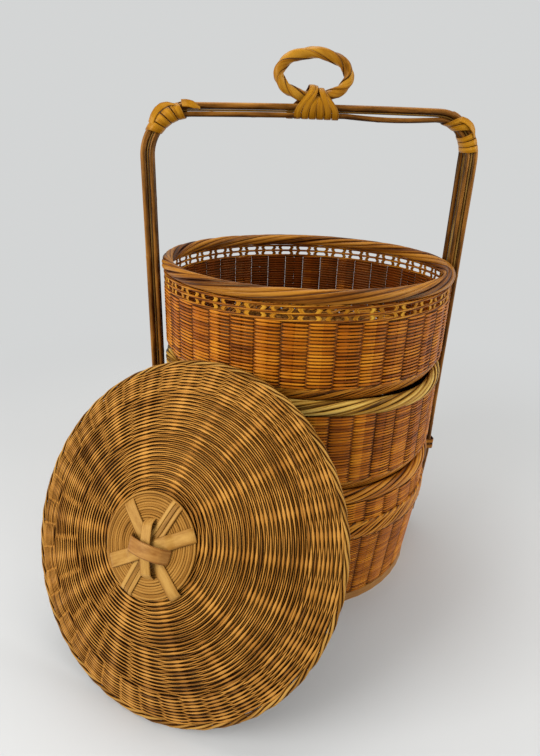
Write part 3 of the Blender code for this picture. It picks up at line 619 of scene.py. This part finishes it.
def carry_ring(name):
    """Broad flat canes twisted into an oval ring. One edge of each lies over the next cane,
    and the other is tucked under the one before it."""
    strands, lays = 3, 3
    low = BAR_UNDERSIDE + BAR_ARCH + BUNDLE_DEPTH + SEAM + RING_THICKNESS / 2
    thickness = 2.2 * MM
    half_angle = math.pi / strands * 1.22

    def place(along, strand, out, side):
        turn = math.tau * along
        nx, nz = np.sin(turn) / RING_HALF_WIDTH, -np.cos(turn) / RING_HALF_HEIGHT
        size = np.hypot(nx, nz)
        nx, nz = nx / size, nz / size
        lean = rounded(side, 0.55)
        roll = math.tau * strand / strands + lays * turn + 0.45 * np.sin(turn) + 2.35
        core = RING_THICKNESS / 2 * (0.86 + 0.13 * lean) - thickness / 2
        rise = core + rounded(out, 0.6) * thickness / 2
        bearing = roll + lean * half_angle
        away, across = rise * np.cos(bearing), rise * np.sin(bearing)
        x = RING_OFFSET + RING_HALF_WIDTH * np.sin(turn) + nx * away
        z = low + RING_HALF_HEIGHT * (1 - np.cos(turn)) + nz * away
        return np.stack([x, across, z], 1)

    return lay(name, strands, 180, 16, place, 0.18, closed=True)


# Lid
def lid_frame():
    """Frame of the leaning lid: its Z is the dome's axis and its border touches the ground."""
    border = LID_BORDER / 2
    centre_radius = LID_RADIUS - border
    distance = WALL_RADIUS - LID_BEDDING + SEAM + border + centre_radius * math.sin(LID_TILT)
    away = Vector((math.cos(LID_BEARING), math.sin(LID_BEARING), 0.0))
    up = Vector((0.0, 0.0, 1.0))
    axis = away * math.cos(LID_TILT) + up * math.sin(LID_TILT)
    rise = up * math.cos(LID_TILT) - away * math.sin(LID_TILT)
    turn = Matrix((rise.cross(axis), rise, axis)).transposed()
    aside = Vector((-away.y, away.x, 0.0)) * LID_SIDESTEP
    centre = away * distance + aside + up * (centre_radius * math.cos(LID_TILT) + border)
    return np.array(turn), np.array(centre)


LID_TURN, LID_CENTRE = lid_frame()


def on_lid(x, y, z):
    return np.stack([x, y, z], 1) @ LID_TURN.T + LID_CENTRE


def dome_height(radius):
    return LID_HEIGHT * (1 - (radius / LID_RADIUS) ** LID_DOME_POWER)


def dome_normal(radius):
    """The outward normal of the dome, away from its axis and along it."""
    slope = -LID_HEIGHT * LID_DOME_POWER / LID_RADIUS * (radius / LID_RADIUS) ** (LID_DOME_POWER - 1)
    size = np.hypot(slope, 1.0)
    return -slope / size, 1.0 / size


def on_dome(radius, turn, rise, slide):
    """A point over the dome, lifted along its normal and slid away down its slope."""
    away, up = dome_normal(radius)
    reach = radius + rise * away + slide * up
    height = dome_height(radius) + rise * up - slide * away
    return on_lid(reach * np.cos(turn), reach * np.sin(turn), height)


def lid_rows(low, high):
    """Radii of the rows of weavers between two radii, evenly spaced over the dome."""
    fine = np.linspace(low, high, 400)
    steps = np.hypot(np.diff(fine), np.diff(dome_height(fine)))
    marks = np.concatenate([[0.0], np.cumsum(steps)])
    rows = int(marks[-1] / LID_WEAVER_PITCH) // 2 * 2
    return np.interp((np.arange(rows) + 0.5) / rows * marks[-1], marks, fine)


def lid_weavers(name, low, high, ribs):
    radii = lid_rows(low, high)
    chance = np.random.default_rng(SEED + ribs + len(radii))
    drift = chance.uniform(0.0, math.tau, (len(radii), 2))
    size = chance.uniform(0.88, 1.08, len(radii))

    def place(along, row, out, side):
        turn = math.tau * along
        swing = ribs / 2 * (turn - LID_ZONE_PHASE)
        ridge = np.exp(-(np.sin(swing) * 2 / ribs * radii[row] / LID_RIDGE) ** 2)
        over = np.tanh(1.8 * np.cos(swing + math.pi * row)) / math.tanh(1.8)
        above = (1 + over) / 2
        wander = 0.10 * MM * (np.sin(5 * turn + drift[row, 0]) + np.sin(9 * turn + drift[row, 1]))
        half = LID_WEAVER_PITCH * size[row] * (0.318 + 0.10 * above + 0.54 * above * ridge)
        rise = (0.95 * over - 1.9 + out * 0.85) * MM
        return on_dome(radii[row], turn, rise, wander + side * half)

    samples = 10 if ribs > 20 else 14
    return lay(name, len(radii), max(ribs * samples // 2 * 2, 140), 6, place,
               math.tau * (low + high) / 2, closed=True)


def lid_inner_weavers(name, low, high):
    """The inner run of the weave, which closes the lid behind the outer one."""
    radii = lid_rows(low, high)

    def place(along, row, out, side):
        turn = math.tau * along
        half = LID_WEAVER_PITCH * 0.60
        return on_dome(radii[row], turn, (out * 0.6 - 3.8) * MM, (side * 1.0 + 0.8) * half)

    return lay(name, len(radii), 160, 6, place, math.tau * (low + high) / 2, closed=True)


def lid_ribs(name):
    """Flat ribs, more of them towards the border."""
    zones = [(3.0 * MM, 90.0 * MM, 10), (88.0 * MM, 131.0 * MM, 20), (129.0 * MM, 157.5 * MM, 40)]
    starts, ends, bearings = [], [], []
    for low, high, ribs in zones:
        for index in range(ribs):
            starts.append(low)
            ends.append(high)
            bearings.append(LID_ZONE_PHASE + math.tau * index / ribs)
    starts, ends, bearings = np.array(starts), np.array(ends), np.array(bearings)

    def place(along, rib, out, side):
        radius = starts[rib] + (ends[rib] - starts[rib]) * along
        away, up = dome_normal(radius)
        rise = rounded(out, 0.6) * 0.4 * MM - 2.5 * MM
        across = rounded(side, 0.6) * 1.6 * MM
        reach = radius + rise * away
        height = dome_height(radius) + rise * up
        bearing = bearings[rib]
        x = reach * np.cos(bearing) - across * np.sin(bearing)
        y = reach * np.sin(bearing) + across * np.cos(bearing)
        return on_lid(x, y, height)

    return lay(name, len(bearings), 16, 6, place, LID_RADIUS)


def lid_border(name):
    """Thin strands laid round the rim of the lid, drawn in a little between the ribs."""
    strands, lays = 4, 14
    width, thickness = 2.5 * MM, 1.9 * MM
    core = (LID_BORDER - thickness) / 2 - 0.1 * MM
    ribs = LID_ZONES[-1][2]

    def place(along, strand, out, side):
        turn = math.tau * along
        roll = math.tau * strand / strands + lays * turn
        scallop = 0.55 * MM * (np.abs(np.cos(ribs / 2 * (turn - LID_ZONE_PHASE))) - 1)
        centre = LID_RADIUS - LID_BORDER / 2 + scallop
        away = (core + out * thickness / 2) * np.cos(roll) - side * width / 2 * np.sin(roll)
        up = (core + out * thickness / 2) * np.sin(roll) + side * width / 2 * np.cos(roll)
        return on_lid((centre + away) * np.cos(turn), (centre + away) * np.sin(turn), up)

    return lay(name, strands, 480, 6, place, math.tau * LID_RADIUS, closed=True)


def on_crown(x, y, rise):
    """A point over the crown of the lid, where it lies nearly flat."""
    return on_lid(x, y, dome_height(np.hypot(x, y)) + rise)


def lid_disc(name):
    """Fine coils sewn side by side over the crown."""
    coils = 20
    pitch = (DISC_RADIUS - 0.6 * MM) / coils
    chance = np.random.default_rng(SEED + coils)
    size = chance.uniform(0.46, 0.58, coils)

    def place(along, coil, out, side):
        turn = math.tau * along
        radius = (coil + 0.5) * pitch + 0.15 * MM * np.sin(3 * turn + 2 * coil)
        radius = radius + rounded(side, 0.7) * pitch * size[coil]
        rise = SEAM + DISC_THICKNESS / 2 + rounded(out, 0.6) * DISC_THICKNESS / 2
        x = DISC_PLACE[0] + radius * np.cos(turn)
        y = DISC_PLACE[1] + radius * np.sin(turn)
        return on_crown(x, y, rise)

    return lay(name, coils, 120, 6, place, math.tau * DISC_RADIUS / 2, closed=True)


def lid_strip(name, bearing, width, length, levels, crossing, rise, splits):
    """Flat splits side by side over the crown. They lie at the first level near their ends
    and climb to the second inside the crossing radius."""
    bearing = math.radians(bearing)
    climb_run = min(length / 2 - crossing, 6.0 * MM)
    low, high = levels

    def place(along, split, out, side):
        travel = length * (along - 0.5)
        climb = low + (high - low) * (1 - ease((np.abs(travel) - crossing) / climb_run))
        arch = rise * np.sin(math.pi * along)
        tuck = 1.2 * MM * ease((np.abs(along - 0.5) - 0.46) / 0.04)
        level = DISC_THICKNESS + 2 * SEAM + climb * STRIP_LEVEL
        level = level + arch - tuck + (1 + rounded(out, 0.6) * (1 - 0.3 * side ** 4)) * 0.5 * MM
        lane = ((split + 0.5) / splits - 0.5) * width
        across = lane + rounded(side, 0.4) * width / splits * 0.48
        x = STAR_PLACE[0] + travel * math.cos(bearing) - across * math.sin(bearing)
        y = STAR_PLACE[1] + travel * math.sin(bearing) + across * math.cos(bearing)
        return on_crown(x, y, level)

    return lay(name, splits, 40, 12, place, length)


# Finishes
class Finish:
    """A material's node tree, with short calls for the nodes that the finishes use."""

    def __init__(self, name):
        self.material = bpy.data.materials.new(name)
        self.material.use_nodes = True
        self.nodes = self.material.node_tree.nodes
        self.links = self.material.node_tree.links
        self.shader = self.nodes["Principled BSDF"]

    def node(self, kind, settings=None, **sockets):
        node = self.nodes.new(kind)
        for key, value in (settings or {}).items():
            setattr(node, key, value)
        for key, value in sockets.items():
            self.feed(node.inputs[key.replace("_", " ")], value)
        return node

    def feed(self, socket, value):
        if isinstance(value, bpy.types.NodeSocket):
            self.links.new(value, socket)
        else:
            socket.default_value = value

    def maths(self, operation, *values):
        node = self.nodes.new("ShaderNodeMath")
        node.operation = operation
        for socket, value in zip(node.inputs, values):
            self.feed(socket, value)
        return node.outputs[0]

    def ramp(self, fac, stops):
        node = self.nodes.new("ShaderNodeValToRGB")
        elements = node.color_ramp.elements
        for index, (place, colour) in enumerate(stops):
            element = elements[index] if index < 2 else elements.new(place)
            element.position = place
            element.color = (*colour, 1.0)
        self.feed(node.inputs[0], fac)
        return node.outputs[0]

    def noise(self, vector, scale, detail=3.0, roughness=0.6):
        node = self.node("ShaderNodeTexNoise", Vector=vector, Scale=scale, Detail=detail,
                         Roughness=roughness)
        return node.outputs["Fac"]


def strand_finish(name, dark, middle, light, roughness, gloss, streaks=9.0, variety=0.35,
                  patches=0.25, patch_scale=14.0, bump=0.25, gloss_spread=0.12, crevice_shade=0.30,
                  columns=0.0):
    """Split or round cane: streaks along each strand, a tone of its own, worn patches, and
    painted shade where the strand turns away from its outer face."""
    f = Finish(name)
    uv = f.node("ShaderNodeUVMap", {"uv_map": "UVMap"}).outputs[0]
    parts = f.node("ShaderNodeSeparateXYZ", Vector=uv).outputs
    number = f.maths("FLOOR", parts[1])
    tone = f.node("ShaderNodeTexWhiteNoise", {"noise_dimensions": "1D"}, W=number).outputs["Value"]
    grain_place = f.node("ShaderNodeCombineXYZ", X=f.maths("MULTIPLY", parts[0], 22.0),
                         Y=f.maths("MULTIPLY", parts[1], streaks), Z=number).outputs[0]
    grain = f.noise(grain_place, 1.0, 4.0)
    fibre_place = f.node("ShaderNodeCombineXYZ", X=f.maths("MULTIPLY", parts[0], 160.0),
                         Y=f.maths("MULTIPLY", parts[1], streaks * 4), Z=number).outputs[0]
    fibre = f.noise(fibre_place, 1.0, 2.0)
    spot = f.node("ShaderNodeTexCoord").outputs["Object"]
    patch = f.noise(spot, patch_scale, 3.0)
    value = f.maths("MULTIPLY_ADD", f.maths("SUBTRACT", tone, 0.5), variety, grain)
    value = f.maths("MULTIPLY_ADD", f.maths("SUBTRACT", patch, 0.5), patches * 2, value)
    value = f.maths("MULTIPLY_ADD", f.maths("SUBTRACT", fibre, 0.5), 0.25, value)
    # Painted shade: the colour darkens as the strand's surface turns away from its outer face, down its
    # flanks and round its back.
    girth = f.maths("MULTIPLY_ADD", f.maths("FRACT", parts[1]), math.tau / 0.92, -math.tau * 0.04 / 0.92)
    painted_girth_shade = f.maths("SUBTRACT", f.maths("COSINE", girth), 0.75)
    value = f.maths("MULTIPLY_ADD", painted_girth_shade, crevice_shade, value)
    if columns:
        column = f.maths("FLOOR", f.maths("MULTIPLY", parts[0], 2 * STAKE_PAIRS / (math.tau * WALL_RADIUS)))
        shade = f.node("ShaderNodeTexWhiteNoise", {"noise_dimensions": "1D"}, W=column).outputs["Value"]
        value = f.maths("MULTIPLY_ADD", f.maths("SUBTRACT", shade, 0.5), columns, value)
        # Painted shade: thin dark lines down the wall between the pairs of stakes, where the weavers cross
        # from outside to inside.
        seam_shade_wave = f.maths("COSINE", f.maths("MULTIPLY", parts[0], STAKE_PAIRS / WALL_RADIUS))
        depth = f.maths("MAXIMUM", f.maths("SUBTRACT", seam_shade_wave, 0.94), 0.0)
        value = f.maths("MULTIPLY_ADD", depth, -3.4, value)
    colour = f.ramp(value, [(0.22, dark), (0.50, middle), (0.78, light)])
    f.links.new(colour, f.shader.inputs["Base Color"])
    rough = f.maths("MULTIPLY_ADD", grain, gloss_spread * 2, roughness - gloss_spread)
    f.links.new(rough, f.shader.inputs["Roughness"])
    f.shader.inputs["Specular IOR Level"].default_value = gloss
    f.shader.inputs["Specular Tint"].default_value = (1.0, 0.70, 0.32, 1.0)
    height = f.maths("MULTIPLY_ADD", grain, 0.6, fibre)
    relief = f.node("ShaderNodeBump", Strength=bump, Distance=0.4 * MM, Height=height)
    f.links.new(relief.outputs[0], f.shader.inputs["Normal"])
    return f.material


def solid_finish(name, dark, middle, light, roughness):
    """Finish for a hoop that the frame already shapes, with its grain running round it."""
    f = Finish(name)
    spot = f.node("ShaderNodeTexCoord").outputs["Object"]
    parts = f.node("ShaderNodeSeparateXYZ", Vector=spot).outputs
    bearing = f.maths("ARCTAN2", parts[1], parts[0])
    place = f.node("ShaderNodeCombineXYZ", X=f.maths("MULTIPLY", bearing, 3.0),
                   Y=f.maths("MULTIPLY", parts[2], 900.0)).outputs[0]
    grain = f.noise(place, 1.0, 4.0)
    colour = f.ramp(grain, [(0.25, dark), (0.5, middle), (0.75, light)])
    f.links.new(colour, f.shader.inputs["Base Color"])
    f.shader.inputs["Roughness"].default_value = roughness
    relief = f.node("ShaderNodeBump", Strength=0.3, Distance=0.4 * MM, Height=grain)
    f.links.new(relief.outputs[0], f.shader.inputs["Normal"])
    return f.material


FINISHES = {
    "weaver": strand_finish("wall_weaver_cane", (0.13, 0.024, 0.001), (0.42, 0.112, 0.004),
                            (0.66, 0.245, 0.015), 0.36, 0.25, crevice_shade=0.24, columns=0.17),
    # The stakes are painted near black: painted shade for the hollows behind the weavers, where they show.
    "stake": strand_finish("wall_stake_split_shade_dark", (0.03, 0.007, 0.001), (0.08, 0.022, 0.002),
                           (0.17, 0.055, 0.005), 0.45, 0.15, streaks=16.0, crevice_shade=0.1),
    "hoop": strand_finish("lattice_hoop_cane", (0.08, 0.016, 0.001), (0.34, 0.100, 0.006),
                          (0.56, 0.24, 0.020), 0.38, 0.25, crevice_shade=0.36),
    "crossing": strand_finish("lattice_stake_split", (0.16, 0.05, 0.003), (0.48, 0.19, 0.010),
                              (0.68, 0.38, 0.040), 0.42, 0.2, crevice_shade=0.2),
    "rim": strand_finish("rim_round_cane", (0.04, 0.008, 0.001), (0.18, 0.052, 0.003),
                         (0.42, 0.17, 0.018), 0.36, 0.3, variety=0.42, crevice_shade=0.46),
    "band": strand_finish("band_round_cane", (0.05, 0.011, 0.001), (0.34, 0.096, 0.005),
                          (0.60, 0.25, 0.024), 0.36, 0.3, variety=0.40, crevice_shade=0.46),
    "straw": strand_finish("rim_pale_split", (0.05, 0.016, 0.002), (0.38, 0.175, 0.018),
                           (0.66, 0.43, 0.10), 0.44, 0.2, variety=0.5, crevice_shade=0.40),
    "rod": strand_finish("handle_rod_cane", (0.040, 0.012, 0.002), (0.22, 0.080, 0.010),
                         (0.42, 0.19, 0.032), 0.36, 0.3, streaks=5.0, crevice_shade=0.16),
    "slat": strand_finish("handle_slat_split", (0.03, 0.010, 0.001), (0.14, 0.064, 0.010),
                          (0.36, 0.21, 0.05), 0.48, 0.15, streaks=14.0, crevice_shade=0.0),
    "cane": strand_finish("binding_flat_cane", (0.10, 0.030, 0.001), (0.34, 0.134, 0.004),
                          (0.47, 0.212, 0.011), 0.36, 0.3, streaks=12.0, crevice_shade=0.42),
    "ring": strand_finish("ring_flat_cane", (0.05, 0.013, 0.001), (0.29, 0.106, 0.004),
                          (0.45, 0.205, 0.015), 0.36, 0.3, streaks=12.0, crevice_shade=0.74),
    "lid": strand_finish("lid_weaver_cane", (0.04, 0.010, 0.001), (0.35, 0.135, 0.017),
                         (0.58, 0.27, 0.050), 0.42, 0.2, crevice_shade=0.62),
    "edge": strand_finish("lid_edge_cane", (0.06, 0.016, 0.001), (0.30, 0.130, 0.018),
                          (0.50, 0.27, 0.06), 0.42, 0.2, crevice_shade=0.46),
    # The ribs and the lid's inner run are painted near black: the parts are real, and the dark colour is
    # painted shade for the gaps between the outer rows.
    "rib": strand_finish("lid_rib_split_shade_dark", (0.012, 0.004, 0.001), (0.05, 0.018, 0.003),
                         (0.12, 0.05, 0.010), 0.44, 0.15, crevice_shade=0.2),
    "disc": strand_finish("lid_disc_split", (0.08, 0.028, 0.003), (0.31, 0.132, 0.021),
                          (0.46, 0.23, 0.048), 0.46, 0.15, variety=0.2, crevice_shade=0.22),
    "star": strand_finish("lid_star_split", (0.10, 0.036, 0.005), (0.32, 0.145, 0.026),
                          (0.50, 0.27, 0.065), 0.42, 0.25, variety=0.3, crevice_shade=0.36),
    "knob": strand_finish("lid_knob_split", (0.06, 0.016, 0.003), (0.23, 0.085, 0.015),
                          (0.42, 0.20, 0.05), 0.34, 0.3, crevice_shade=0.30),
    "floor": strand_finish("floor_flat_split", (0.05, 0.016, 0.002), (0.18, 0.068, 0.010),
                           (0.34, 0.16, 0.034), 0.5, 0.15, streaks=16.0),
}


# The basket
def dress_trays():
    top, middle, bottom = "top_tray", "middle_tray", "bottom_tray_and_handle"
    for tray, body, rows, samples in ((top, top, 38, 8), (middle, middle, 48, 8)):
        low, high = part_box(tray + "_wall")
        settle(wall_weavers(tray + "_weavers", low.z, high.z, rows, samples), body,
               "honey_weave", FINISHES["weaver"], tray + "_wall")
        settle(wall_stakes(tray + "_stakes", low.z, high.z, 2), body, "honey_weave", FINISHES["stake"],
               tray + "_wall")
    low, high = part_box("bottom_tray_wall")
    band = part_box("bottom_tray_waling")
    settle(wall_weavers("bottom_tray_weavers_upper", band[1].z, high.z, 16, 8), bottom,
           "honey_weave", FINISHES["weaver"], "bottom_tray_wall")
    settle(wall_weavers("bottom_tray_weavers_lower", low.z, band[0].z, 60, 6), bottom,
           "honey_weave", FINISHES["weaver"], "bottom_tray_wall")
    settle(wall_stakes("bottom_tray_stakes", low.z, high.z, 12), bottom, "honey_weave",
           FINISHES["stake"], "bottom_tray_wall")


def dress_lattice():
    low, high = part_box("top_tray_lattice")
    settle(lattice_stakes("top_tray_lattice_stakes", low.z, high.z), "top_tray", "honey_weave",
           FINISHES["crossing"], "top_tray_lattice")
    for word, level in (("lower", low.z + 1.1 * MM), ("middle", (low.z + high.z) / 2),
                        ("upper", high.z - 1.1 * MM)):
        hoop = rope("top_tray_hoop_" + word, 3, 9, WALL_RADIUS - STAKE_DEPTH, level,
                    0.9 * MM, 0.7 * MM, 1.9 * MM, 1.3 * MM, samples=36, sides=6)
        settle(hoop, "top_tray", "honey_weave", FINISHES["hoop"], "top_tray_lattice")


def rim_dip(turn):
    """The middle tray's rim has sunk a little on the right of the front."""
    offset = (turn - math.radians(-40.0) + math.pi) % math.tau - math.pi
    return -5.2 * MM * np.exp(-(offset / math.radians(34.0)) ** 2)


def dress_rims():
    for tray, body, finish, strands, lays, thick, dip in (
            ("top_tray", "top_tray", "rim", 7, 4, 4.0 * MM, None),
            ("middle_tray", "middle_tray", "straw", 9, 5, 3.4 * MM, rim_dip),
            ("bottom_tray", "bottom_tray_and_handle", "band", 8, 6, 3.6 * MM, None)):
        low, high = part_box(tray + "_rim")
        obj = rope(tray + "_rim_rope", strands, lays, RIM_RADIUS - RIM_WIDTH / 2, (low.z + high.z) / 2,
                   (RIM_WIDTH - thick * 1.12) / 2, (high.z - low.z - thick * 1.12) / 2, thick * 1.25,
                   thick, samples=60, dip=dip)
        settle(obj, body, "straw_splits", FINISHES[finish], tray + "_rim")


def dress_bands():
    """Tapered feet and the twisted band round the bottom tray."""
    for tray in ("top_tray", "middle_tray"):
        low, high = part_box(tray + "_foot")
        rim_top = {"top_tray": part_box("middle_tray_rim")[1].z,
                   "middle_tray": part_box("bottom_tray_rim")[1].z}[tray]
        slope = 0.625
        half_height = (high.z - low.z) / 2
        middle = (high.z + low.z) / 2
        outer = WALL_RADIUS - slope * half_height
        thickness = 2.0 * MM
        half_width = 1.2 * MM
        obj = rope(tray + "_foot_band", 10, 9, outer - half_width - thickness / 2, middle, half_width,
                   half_height - thickness / 2, 3.9 * MM, thickness, samples=36, lean=slope)
        settle(obj, tray, "amber_rods", FINISHES["band"], tray + "_foot")
    low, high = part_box("bottom_tray_waling")
    thickness = 2.2 * MM
    obj = rope("bottom_tray_twisted_band", 10, 10, high.x - thickness / 2 - 1.4 * MM,
               (low.z + high.z) / 2, 1.4 * MM, (high.z - low.z - thickness) / 2, 4.6 * MM, thickness,
               samples=36)
    settle(obj, "bottom_tray_and_handle", "amber_rods", FINISHES["band"], "bottom_tray_waling")


def dress_floors():
    for node, body in (("top_tray_floor", "top_tray"), ("middle_tray_floor", "middle_tray"),
                       ("bottom_tray_floor", "bottom_tray_and_handle")):
        settle(woven_floor(node + "_splits", node), body, "ochre_weave", FINISHES["floor"], node)
        low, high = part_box(node)
        edge = rope(node + "_edge", 3, 24, high.x - 2.6 * MM, (low.z + high.z) / 2, 2.2 * MM,
                    (high.z - low.z) / 2 - 0.6 * MM, 3.4 * MM, 1.6 * MM, samples=10, sides=6)
        settle(edge, body, "ochre_weave", FINISHES["floor"], node)
    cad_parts["bottom_tray_foot_edge"].data.materials.clear()
    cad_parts["bottom_tray_foot_edge"].data.materials.append(
        solid_finish("foot_edge_split", (0.14, 0.04, 0.006), (0.36, 0.15, 0.02), (0.52, 0.27, 0.05), 0.45))


def dress_handle():
    body = "bottom_tray_and_handle"
    half_pitch = OUTER_ROD / 2 + SEAM / 2
    for word, hand, seed in (("front", -1, 1), ("back", 1, 2)):
        outer = handle_rod("outer_rod_" + word, OUTER_ROD_DEPTH, OUTER_ROD, hand, half_pitch,
                           ROD_SPREAD, OUTER_ROD_END, 0.0, seed)
        settle(outer, body, "amber_rods", FINISHES["rod"], "handle_outer_rod_" + word)
        inner = handle_rod("inner_rod_" + word, INNER_ROD / 2, INNER_ROD, hand,
                           (INNER_ROD + SEAM) / 2, INNER_ROD_SPREAD, INNER_ROD_END, INNER_ROD_BOW,
                           seed + 10)
        settle(inner, body, "amber_rods", FINISHES["rod"], "handle_inner_rod_" + word)
    settle(handle_slat("slat"), body, "straw_splits", FINISHES["slat"], "handle_slat")
    right, left = "corner_wrap_right", "corner_wrap_left"
    pieces = ((corner_wrap("corner_turns_left", -1, BEND_LEFT, 4, 7.5, 55.0, 0.6, (8.2, 10.4)), left),
              (tucked_strip("corner_loop_left", -1, BEND_LEFT, TUCK_LEFT, 6.6 * MM, 1.15), left),
              (tucked_strip("corner_end_left", -1, BEND_LEFT, TUCK_BAR, 7.0 * MM, 1.3), left),
              (corner_wrap("corner_slant_right", 1, BEND_RIGHT, 2, 19.0, 46.0, 8.0, (9.6, 11.6)), right),
              (corner_wrap("corner_turns_right", 1, BEND_RIGHT, 3, 52.0, 80.0, -1.5, (12.8, 14.6)), right),
              (tucked_strip("corner_knot_right", 1, BEND_RIGHT, TUCK_RIGHT, 7.0 * MM, 1.1), right))
    for piece, node in pieces:
        settle(piece, body, "golden_cane", FINISHES["cane"], node)
    settle(centre_wrap("centre_binding"), body, "golden_cane", FINISHES["cane"], "centre_wrap")
    for word, hand in (("right", 1), ("left", -1)):
        for level in ("upper", "lower"):
            node = "leg_tie_%s_%s" % (word, level)
            settle(leg_tie("tie_%s_%s" % (word, level), hand, node), body, "golden_cane",
                   FINISHES["rim"], node)
    settle(carry_ring("twisted_ring"), "carry_ring", "golden_cane", FINISHES["ring"], "carry_ring")


def dress_lid():
    for index, (low, high, ribs) in enumerate(LID_ZONES):
        settle(lid_weavers("lid_weavers_%d" % (index + 1), low, high, ribs), "lid", "ochre_weave",
               FINISHES["lid"], "lid_shell")
        # The inner run takes the near-black rib finish, painted shade for the gaps between the outer rows.
        settle(lid_inner_weavers("lid_inner_weavers_%d" % (index + 1), low, high), "lid", "ochre_weave",
               FINISHES["rib"], "lid_shell")
    settle(lid_ribs("lid_ribs"), "lid", "ochre_weave", FINISHES["rib"], "lid_shell")
    settle(lid_border("lid_twisted_edge"), "lid", "ochre_weave", FINISHES["edge"], "lid_border")
    settle(lid_disc("lid_coiled_disc"), "lid", "straw_splits", FINISHES["disc"], "lid_centre_disc")
    strips = (("star_strip_1", -42.0, 11.5, 91.6, (0, 0), 11.0, 0.0, 1, "lid_star_strip_1", "star"),
              ("star_strip_2", 71.0, 12.5, 89.4, (0, 1), 12.5, 0.0, 3, "lid_star_strip_2", "star"),
              ("star_strip_3", 32.5, 13.5, 87.3, (0, 2), 18.5, 0.0, 1, "lid_star_strip_3", "star"),
              ("knob_strip_lower", -75.0, 10.5, 50.0, (0, 3), 20.0, 2.6, 1, "lid_knob_strip_lower", "star"),
              ("knob_strip_upper", -2.0, 13.5, 42.0, (1, 4), 15.0, 4.8, 1, "lid_knob_strip_upper", "knob"))
    for name, bearing, width, length, levels, crossing, rise, splits, node, finish in strips:
        obj = lid_strip(name, bearing, width * MM, length * MM, levels, crossing * MM, rise * MM, splits)
        slot = "amber_rods" if name == "knob_strip_upper" else "straw_splits"
        settle(obj, "lid", slot, FINISHES[finish], node)


# Stage
def photo_camera():
    """The photograph's camera, fitted to the rims, the feet and the handle."""
    heading, pitch, roll = math.radians(7.62), math.radians(-23.14), math.radians(2.02)
    look = Vector((math.sin(heading) * math.cos(pitch), math.cos(heading) * math.cos(pitch),
                   math.sin(pitch)))
    level = Vector((math.cos(heading), -math.sin(heading), 0.0))
    lift = level.cross(look)
    right = level * math.cos(roll) + lift * math.sin(roll)
    up = lift * math.cos(roll) - level * math.sin(roll)
    data = bpy.data.cameras.new("photo_camera")
    data.sensor_fit = "HORIZONTAL"
    data.sensor_width = 36.0
    data.lens = 36.4
    data.clip_start = 0.01
    obj = bpy.data.objects.new("photo_camera", data)
    bpy.context.scene.collection.objects.link(obj)
    turn = Matrix((right, up, -look)).transposed().to_4x4()
    obj.matrix_world = Matrix.Translation((-0.1162, -0.5963, 0.4725)) @ turn
    bpy.context.scene.camera = obj


def soft_light(name, place, target, size, power):
    data = bpy.data.lights.new(name, "AREA")
    data.shape = "RECTANGLE"
    data.size, data.size_y = size
    data.energy = power
    obj = bpy.data.objects.new(name, data)
    obj.location = place
    aim = Vector(target) - Vector(place)
    obj.rotation_euler = aim.to_track_quat("-Z", "Y").to_euler()
    bpy.context.scene.collection.objects.link(obj)


def stage():
    bm = bmesh.new()
    bmesh.ops.create_circle(bm, cap_ends=True, segments=96, radius=14.0)
    mesh = bpy.data.meshes.new("floor")
    bm.to_mesh(mesh)
    bm.free()
    floor = bpy.data.objects.new("floor", mesh)
    bpy.context.scene.collection.objects.link(floor)
    f = Finish("pale_floor")
    f.shader.inputs["Base Color"].default_value = (0.60, 0.61, 0.61, 1.0)
    f.shader.inputs["Roughness"].default_value = 0.8
    f.shader.inputs["Specular IOR Level"].default_value = 0.2
    plain = f.node("ShaderNodeEmission", Color=(*BACKDROP, 1.0), Strength=1.0)
    spot = f.node("ShaderNodeTexCoord").outputs["Object"]
    far = f.node("ShaderNodeVectorMath", {"operation": "LENGTH"}, Vector=spot).outputs["Value"]
    fade = f.node("ShaderNodeMapRange", {"interpolation_type": "SMOOTHSTEP"}, Value=far)
    fade.inputs["From Min"].default_value = 0.30
    fade.inputs["From Max"].default_value = 0.95
    mixed = f.node("ShaderNodeMixShader", Fac=fade.outputs[0])
    f.links.new(f.shader.outputs[0], mixed.inputs[1])
    f.links.new(plain.outputs[0], mixed.inputs[2])
    f.links.new(mixed.outputs[0], f.nodes["Material Output"].inputs[0])
    floor.data.materials.append(f.material)
    world = bpy.data.worlds.new("studio")
    world.use_nodes = True
    nodes, links = world.node_tree.nodes, world.node_tree.links
    plain = nodes["Background"]
    plain.inputs["Color"].default_value = (1.0, 0.98, 0.95, 1.0)
    plain.inputs["Strength"].default_value = 0.42
    seen = nodes.new("ShaderNodeBackground")
    seen.inputs["Color"].default_value = (*BACKDROP, 1.0)
    path = nodes.new("ShaderNodeLightPath")
    mix = nodes.new("ShaderNodeMixShader")
    shown = nodes.new("ShaderNodeMath")
    shown.operation = "MAXIMUM"
    links.new(path.outputs["Is Camera Ray"], shown.inputs[0])
    links.new(path.outputs["Is Transmission Ray"], shown.inputs[1])
    links.new(shown.outputs[0], mix.inputs[0])
    links.new(plain.outputs[0], mix.inputs[1])
    links.new(seen.outputs[0], mix.inputs[2])
    links.new(mix.outputs[0], nodes["World Output"].inputs[0])
    bpy.context.scene.world = world
    soft_light("left_light", (-1.3, -0.7, 0.9), (0.0, 0.0, 0.25), (0.9, 1.2), 23.0)
    soft_light("right_light", (1.3, -0.6, 0.9), (0.0, 0.0, 0.25), (0.9, 1.2), 13.0)
    soft_light("top_light", (0.0, 0.3, 1.7), (0.0, 0.0, 0.2), (1.4, 1.0), 12.0)


dress_trays()
dress_lattice()
dress_rims()
dress_bands()
dress_floors()
dress_handle()
dress_lid()
photo_camera()
stage()
bpy.context.scene.view_settings.view_transform = "Standard"
